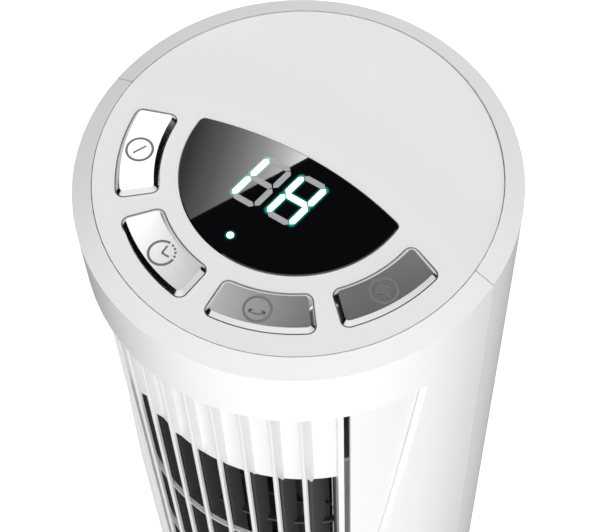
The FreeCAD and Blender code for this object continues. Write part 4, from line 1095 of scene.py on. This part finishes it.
@dataclass
class Blower:
    """Cross-flow wheel with its curved blades, and the motor that turns it."""

    radius: float = 50.0 * MM
    axis_back: float = 8.0 * MM
    blades: int = 30
    depth: float = 10.0 * MM
    blade_wall: float = 0.9 * MM
    disc_wall: float = 1.6 * MM
    sections: int = 6
    hub_bore: float = 12.0 * MM
    stub_bore: float = 3.0 * MM
    rim_overlap: float = 2.0 * MM
    tip_gap: float = 0.6 * MM
    bow: float = 9.0

    def build(self) -> None:
        """Build the wheel and dress the drive."""
        low, high = (corner.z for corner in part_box("blower_wheel"))
        blades = WheelArray().grow("blades", self.blade(low, high), {
            "Blades": self.blades, "Axis behind centre": self.axis_back, "Finish": WHEEL.material()})
        body = Shape()
        section = (high - low - self.disc_wall) / self.sections
        for index in range(self.sections + 1):
            inner = {0: self.hub_bore, self.sections: self.stub_bore}.get(
                index, self.radius - self.depth - self.rim_overlap)
            base = low + section * index
            body.ring((0.0, self.axis_back), (inner + self.radius) / 2, self.radius - inner,
                      base, base + self.disc_wall, steps=96)
        body.mesh.from_mesh(blades)
        piece = show("blower_blades", body.data("blower_blades"), WHEEL)
        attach(piece, "blower")
        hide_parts("blower_wheel")
        dress(["drive_hub", "motor_rotor"], CAST)
        dress(["motor_shaft", "top_stub"], ZINC)
        dress(["motor_housing", "motor_bracket"], SHEET)
        dress(["stator_core"], CORE)
        dress(["stator_windings"], COPPER)
        dress(["lower_bush", "upper_bush", "top_bush"], BRONZE)
        dress(["motor_dampers", "bush_seat"], RUBBER)
        LOG.info("blower with %d blades", self.blades)

    def blade(self, low: float, high: float) -> Mesh:
        """Make one blade, bowed from the inner rim to the outer.

        Args:
            low: Height of its foot.
            high: Height of its head.

        Returns:
            Its mesh.
        """
        path, steps = [], 6
        for share in (index / steps for index in range(steps + 1)):
            reach = self.radius - self.depth + (self.depth - self.tip_gap) * share
            path += arc((0.0, 0.0), reach, self.bow * share * share, 360.0, 1)[:1]
        shape = Shape()
        shape.ribbon(path, self.blade_wall, low, high)
        return shape.data("blade")


@dataclass
class Electronics:
    """Boards, switches and the parts on them."""

    def build(self) -> None:
        """Dress the electronics."""
        dress(["control_board", "main_board"], BOARD)
        dress(["tact_switches"], SWITCH)
        dress(["run_capacitor"], CAPACITOR)
        dress(["power_transformer"], CORE)
        dress(["ribbon_lead"], RIBBON)


@dataclass
class SwingDrive:
    """Gear, pinion, bearings and motor that swing the column."""

    def build(self) -> None:
        """Dress the swing drive."""
        dress(["fixed_gear", "swing_pinion", "pivot_post", "swing_bush", "swing_retainer"], ACETAL)
        dress(["swing_shaft"], ZINC)
        dress(["swing_bracket", "swing_motor"], SHEET)


@dataclass
class Fasteners:
    """Every group of screws, each grown from where its frame node has them."""

    head_height: float = 2.0 * MM
    shank_radius: float = 1.15 * MM
    recess: float = 0.75 * MM
    apart: float = 20.0 * MM
    groups: dict[str, tuple[Vector, str]] = field(default_factory=lambda: {
        "casing_screws": (Vector((0, 1, 0)), "column"), "board_screws": (Vector((0, 0, -1)), "column"),
        "motor_screws": (Vector((0, 0, -1)), "column"), "foot_screws": (Vector((0, 0, -1)), "column"),
        "post_screws": (Vector((0, 0, 1)), "base"), "base_screws": (Vector((0, 0, -1)), "base")})

    def build(self) -> None:
        """Grow one piece for each group."""
        field_tree = ScrewField()
        for node, (aim, body) in self.groups.items():
            heads, radius, length = self.seats(node, aim)
            seed = bpy.data.meshes.new(node + "_seats")
            seed.from_pydata([tuple(head) for head in heads], [], [])
            facing = seed.attributes.new("aim", "FLOAT_VECTOR", "POINT")
            for index in range(len(heads)):
                facing.data[index].vector = aim
            mesh = field_tree.grow(node + "_set", seed, {
                "Head radius": radius, "Head height": self.head_height, "Shank radius": self.shank_radius,
                "Shank length": length, "Recess width": self.recess, "Finish": ZINC.material()})
            piece = show(node + "_set", mesh, ZINC)
            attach(piece, body)
            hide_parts(node)
            LOG.info("%s: %d screws", node, len(heads))

    def seats(self, node: str, aim: Vector) -> tuple[list[Vector], float, float]:
        """Where the heads of a group sit.

        Args:
            node: The frame's node that holds the group.
            aim: The way its heads face.

        Returns:
            The point under each head, the heads' radius and the shanks' length.
        """
        groups: list[list[Vector]] = []
        for corner in (vertex.co.copy() for vertex in frame["nodes"][node].data.vertices):
            near = next((group for group in groups if (group[0] - corner).length < self.apart), None)
            if near is None:
                groups.append([corner])
            else:
                near.append(corner)
        heads = []
        for group in groups:
            low, high = (Vector([pick(v[axis] for v in group) for axis in range(3)]) for pick in (min, max))
            middle, span = (low + high) / 2, high - low
            along = abs(span.dot(aim))
            heads.append(middle + aim * (along / 2 - self.head_height))
        across = min(span[axis] for axis in range(3) if abs(aim[axis]) < 0.5)
        return heads, across / 2, along - self.head_height


@dataclass(frozen=True)
class Glowing:
    """Plain glowing surface of a floor or a card, one strength all over."""

    name: str
    strength: float = 0.0

    def material(self) -> Material:
        """Make the surface's material.

        Returns:
            The material.
        """
        made = bpy.data.materials.new(self.name)
        made.use_nodes = True
        graph = Graph(made.node_tree)
        made.node_tree.nodes.remove(made.node_tree.nodes["Principled BSDF"])
        glow = graph.add("ShaderNodeEmission")
        glow.inputs["Strength"].default_value = self.strength
        self.spread(graph, glow)
        graph.tree.links.new(glow.outputs[0], made.node_tree.nodes["Material Output"].inputs["Surface"])
        return made

    def spread(self, graph: Graph, glow: Node) -> None:
        """How the light varies over the surface."""


@dataclass(frozen=True)
class OverheadGlow(Glowing):
    """Light of the overhead card: a bright quarter round the lens and a slow fall over the keys.

    Lengths are in metres; each step pairs a distance with a share of the strength.
    """

    edge: tuple[float, float, float] = (-0.487, 0.684, 2.0)
    middle: tuple[float, float, float] = (-0.486, 0.658, 2.0)
    across: tuple[float, float, float] = (-0.9104, 0.4138, 0.0)
    along: tuple[float, float, float] = (-0.4138, -0.9104, 0.0)
    rim: tuple[float, float] = (0.156, 0.170)
    lens_steps: tuple[Point, ...] = ((-0.20, 0.2), (-0.05, 0.8), (0.0, 0.96), (0.04, 0.57), (0.077, 0.35),
                                     (0.12, 0.2), (0.154, 0.12), (0.21, 0.04), (0.6, 0.03))
    key_steps: tuple[Point, ...] = ((-0.6, 0.01), (-0.26, 0.008), (-0.211, 0.010), (-0.175, 0.038),
                                    (-0.144, 0.06), (-0.122, 0.07), (-0.075, 0.095), (-0.023, 0.13),
                                    (0.01, 0.15), (0.08, 0.22), (0.6, 0.22))

    def steps(self, graph: Graph, reach: Socket, steps: Sequence[Point]) -> Socket:
        """Make the light run straight from step to step.

        Args:
            graph: The material's nodes.
            reach: The distance.
            steps: Distances with their shares of the strength.

        Returns:
            The share at the distance.
        """
        low, high = steps[0][0], steps[-1][0]
        ramp = graph.add("ShaderNodeValToRGB", {0: graph.remap(reach, (low, high))})
        while len(ramp.color_ramp.elements) < len(steps):
            ramp.color_ramp.elements.new(0.5)
        for element, (distance, level) in zip(ramp.color_ramp.elements, steps):
            element.position, element.color = (distance - low) / (high - low), (level, level, level, 1.0)
        return graph.grey(ramp.outputs[0])

    def spread(self, graph: Graph, glow: Node) -> None:
        """Put a quarter of light inside the rim, and the keys' light outside it.

        Args:
            graph: The material's nodes.
            glow: The node that gives the light.
        """
        place = graph.add("ShaderNodeTexCoord").outputs["Object"]
        offset = graph.vector("SUBTRACT", place, self.edge).outputs[0]
        across, along = (graph.vector("DOT_PRODUCT", offset, way).outputs["Value"]
                         for way in (self.across, self.along))
        lens = self.steps(graph, graph.math("ADD", across, along), self.lens_steps)
        lit = graph.math("MULTIPLY", lens, graph.math("GREATER_THAN", across, 0.0))
        keys = self.steps(graph, across, self.key_steps)
        outside = graph.remap(graph.vector("DISTANCE", place, self.middle).outputs["Value"], self.rim)
        mix = graph.add("ShaderNodeMix", {0: outside, 2: lit, 3: keys}, data_type="FLOAT").outputs[0]
        graph.tree.links.new(graph.math("MULTIPLY", mix, self.strength), glow.inputs["Strength"])


@dataclass(frozen=True)
class Lamp:
    """Square soft lamp: where it stands about the top of the fan, its size in metres and power in watts."""

    name: str
    azimuth: float
    height: float
    distance: float
    size: float
    power: float


@dataclass(frozen=True)
class Screen:
    """Upright dark sheet: where it stands about the top of the fan, and how far it reaches from there."""

    name: str
    azimuth: float
    elevation: float
    distance: float
    half_width: float
    low: float
    high: float


@dataclass
class Studio:
    """Pale floor, soft light and the camera; lengths in metres, angles in degrees."""

    camera_place: tuple[float, float, float] = (0.191135, -0.258776, 1.246897)
    camera_turn: tuple[float, float, float] = (30.1194, 1.5262, 33.9772)
    lens: float = 99.699
    sky: float = 0.62
    sky_slope: float = 0.44
    sky_side: tuple[float, float] = (-55.0, 50.0)
    floor_size: float = 60.0
    top: float = 0.76
    aim: tuple[float, float, float] = (0.0, 0.0, 0.7)
    lamp_set: tuple[Lamp, ...] = (Lamp("front_lamp", -62.0, -8.0, 2.2, 0.8, 29.0),
                                  Lamp("back_lamp", 100.0, 70.0, 2.4, 1.4, 8.0))
    card_strength: float = 8.0
    card_near: float = -0.9
    card_far: float = 1.5
    flags: tuple[Screen, ...] = (Screen("left_flag", -141.0, 15.0, 1.2, 0.45, -0.26, 0.26),
                                 Screen("back_flag", 57.0, 9.0, 1.2, 0.55, -0.28, 0.28))
    shade: Screen = Screen("left_screen", -158.0, 0.0, 0.42, 0.5, -0.74, 0.2)

    def build(self) -> None:
        """Set the stage."""
        self.camera()
        self.floor()
        self.surroundings()
        self.lamps()
        self.cards()

    def camera(self) -> None:
        """Set the camera above the front right of the fan, looking down on its top."""
        data = bpy.data.cameras.new("camera")
        data.lens, data.sensor_width, data.clip_start = self.lens, 36.0, 0.01
        holder = bpy.data.objects.new("camera", data)
        holder.location = self.camera_place
        holder.rotation_euler = Euler([math.radians(angle) for angle in self.camera_turn], "XYZ")
        bpy.context.scene.collection.objects.link(holder)
        bpy.context.scene.camera = holder

    def floor(self) -> None:
        """Lay the plain pale floor, which neither lights nor mirrors in the fan."""
        half = self.floor_size / 2
        floor = self.sheet("floor", [(-half, -half, 0), (half, -half, 0), (half, half, 0), (-half, half, 0)],
                           FLOOR.material())
        floor.visible_diffuse = floor.visible_glossy = floor.visible_shadow = False

    def sheet(self, name: str, corners: Sequence[Any], material: Material) -> Piece:
        """One flat sheet of the stage.

        Args:
            name: The sheet's name.
            corners: Its four corners in order.
            material: What it is made of.

        Returns:
            The new object.
        """
        mesh = bpy.data.meshes.new(name)
        mesh.from_pydata([tuple(corner) for corner in corners], [], [(0, 1, 2, 3)])
        mesh.materials.append(material)
        piece = bpy.data.objects.new(name, mesh)
        bpy.context.scene.collection.objects.link(piece)
        return piece

    def surroundings(self) -> None:
        """Light the room in white, brighter towards one side."""
        world = bpy.data.worlds.new("studio")
        world.use_nodes = True
        sky = world.node_tree.nodes["Background"]
        sky.inputs["Color"].default_value = (1.0, 1.0, 1.0, 1.0)
        graph = Graph(world.node_tree)
        azimuth, height = (math.radians(angle) for angle in self.sky_side)
        side = (math.cos(azimuth) * math.cos(height), math.sin(azimuth) * math.cos(height), math.sin(height))
        way = graph.vector("NORMALIZE", graph.add("ShaderNodeTexCoord").outputs["Generated"]).outputs[0]
        slope = graph.vector("DOT_PRODUCT", way, side).outputs["Value"]
        light = graph.math("ADD", graph.math("MULTIPLY", slope, self.sky_slope), self.sky)
        graph.tree.links.new(light, sky.inputs["Strength"])
        bpy.context.scene.world = world
        bpy.context.scene.view_settings.view_transform = "Standard"

    def lamps(self) -> None:
        """Hang the large soft lamps."""
        for lamp in self.lamp_set:
            data = bpy.data.lights.new(lamp.name, "AREA")
            data.size, data.energy = lamp.size, lamp.power
            holder = bpy.data.objects.new(lamp.name, data)
            holder.location = self.around(lamp.azimuth, lamp.height, lamp.distance)
            facing = Vector(self.aim) - holder.location
            holder.rotation_euler = facing.to_track_quat("-Z", "Y").to_euler()
            bpy.context.scene.collection.objects.link(holder)

    def around(self, azimuth: float, elevation: float, distance: float) -> Vector:
        """Find a place about the top of the fan.

        Args:
            azimuth: Its direction in plan, in degrees.
            elevation: Its direction upward, in degrees.
            distance: How far it is.

        Returns:
            The place.
        """
        a, e = math.radians(azimuth), math.radians(elevation)
        flat = distance * math.cos(e)
        return Vector((flat * math.cos(a), flat * math.sin(a), self.top + distance * math.sin(e)))

    def cards(self) -> None:
        """Set the overhead card and dark flags, which only reflections see, and the dark screen."""
        glow = OverheadGlow("overhead_card", self.card_strength)
        left, right, level = -self.card_far, self.card_near + self.card_far, glow.edge[2]
        self.shine_only(self.sheet("overhead_card", [
            (left, self.card_near, level), (right, self.card_near, level), (right, self.card_far, level),
            (left, self.card_far, level)], glow.material()))
        for flag in self.flags:
            self.shine_only(self.upright(flag))
        self.upright(self.shade).visible_camera = False

    def upright(self, screen: Screen) -> Piece:
        """Put up a dark sheet that faces the fan.

        Args:
            screen: Its place and size.

        Returns:
            The new object.
        """
        place = self.around(screen.azimuth, screen.elevation, screen.distance)
        a = math.radians(screen.azimuth)
        side = Vector((-math.sin(a), math.cos(a), 0.0)) * screen.half_width
        low, high = Vector((0.0, 0.0, screen.low)), Vector((0.0, 0.0, screen.high))
        return self.sheet(screen.name, [place - side + low, place + side + low, place + side + high,
                                        place - side + high], Glowing(screen.name).material())

    def shine_only(self, piece: Piece) -> None:
        """Let only reflections see a card."""
        for way in ("camera", "diffuse", "transmission", "shadow", "volume_scatter"):
            setattr(piece, "visible_" + way, False)


def main() -> None:
    """Build the studio, then every sub-assembly."""
    logging.basicConfig(level=logging.INFO, format="%(name)s: %(message)s")
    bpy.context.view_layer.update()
    Studio().build()
    for part in (Shell(), Grille(), Display(), Keys(), Blower(), Electronics(), SwingDrive(), Fasteners()):
        part.build()
        LOG.info("%s done", type(part).__name__)


if __name__ == "__main__":
    main()
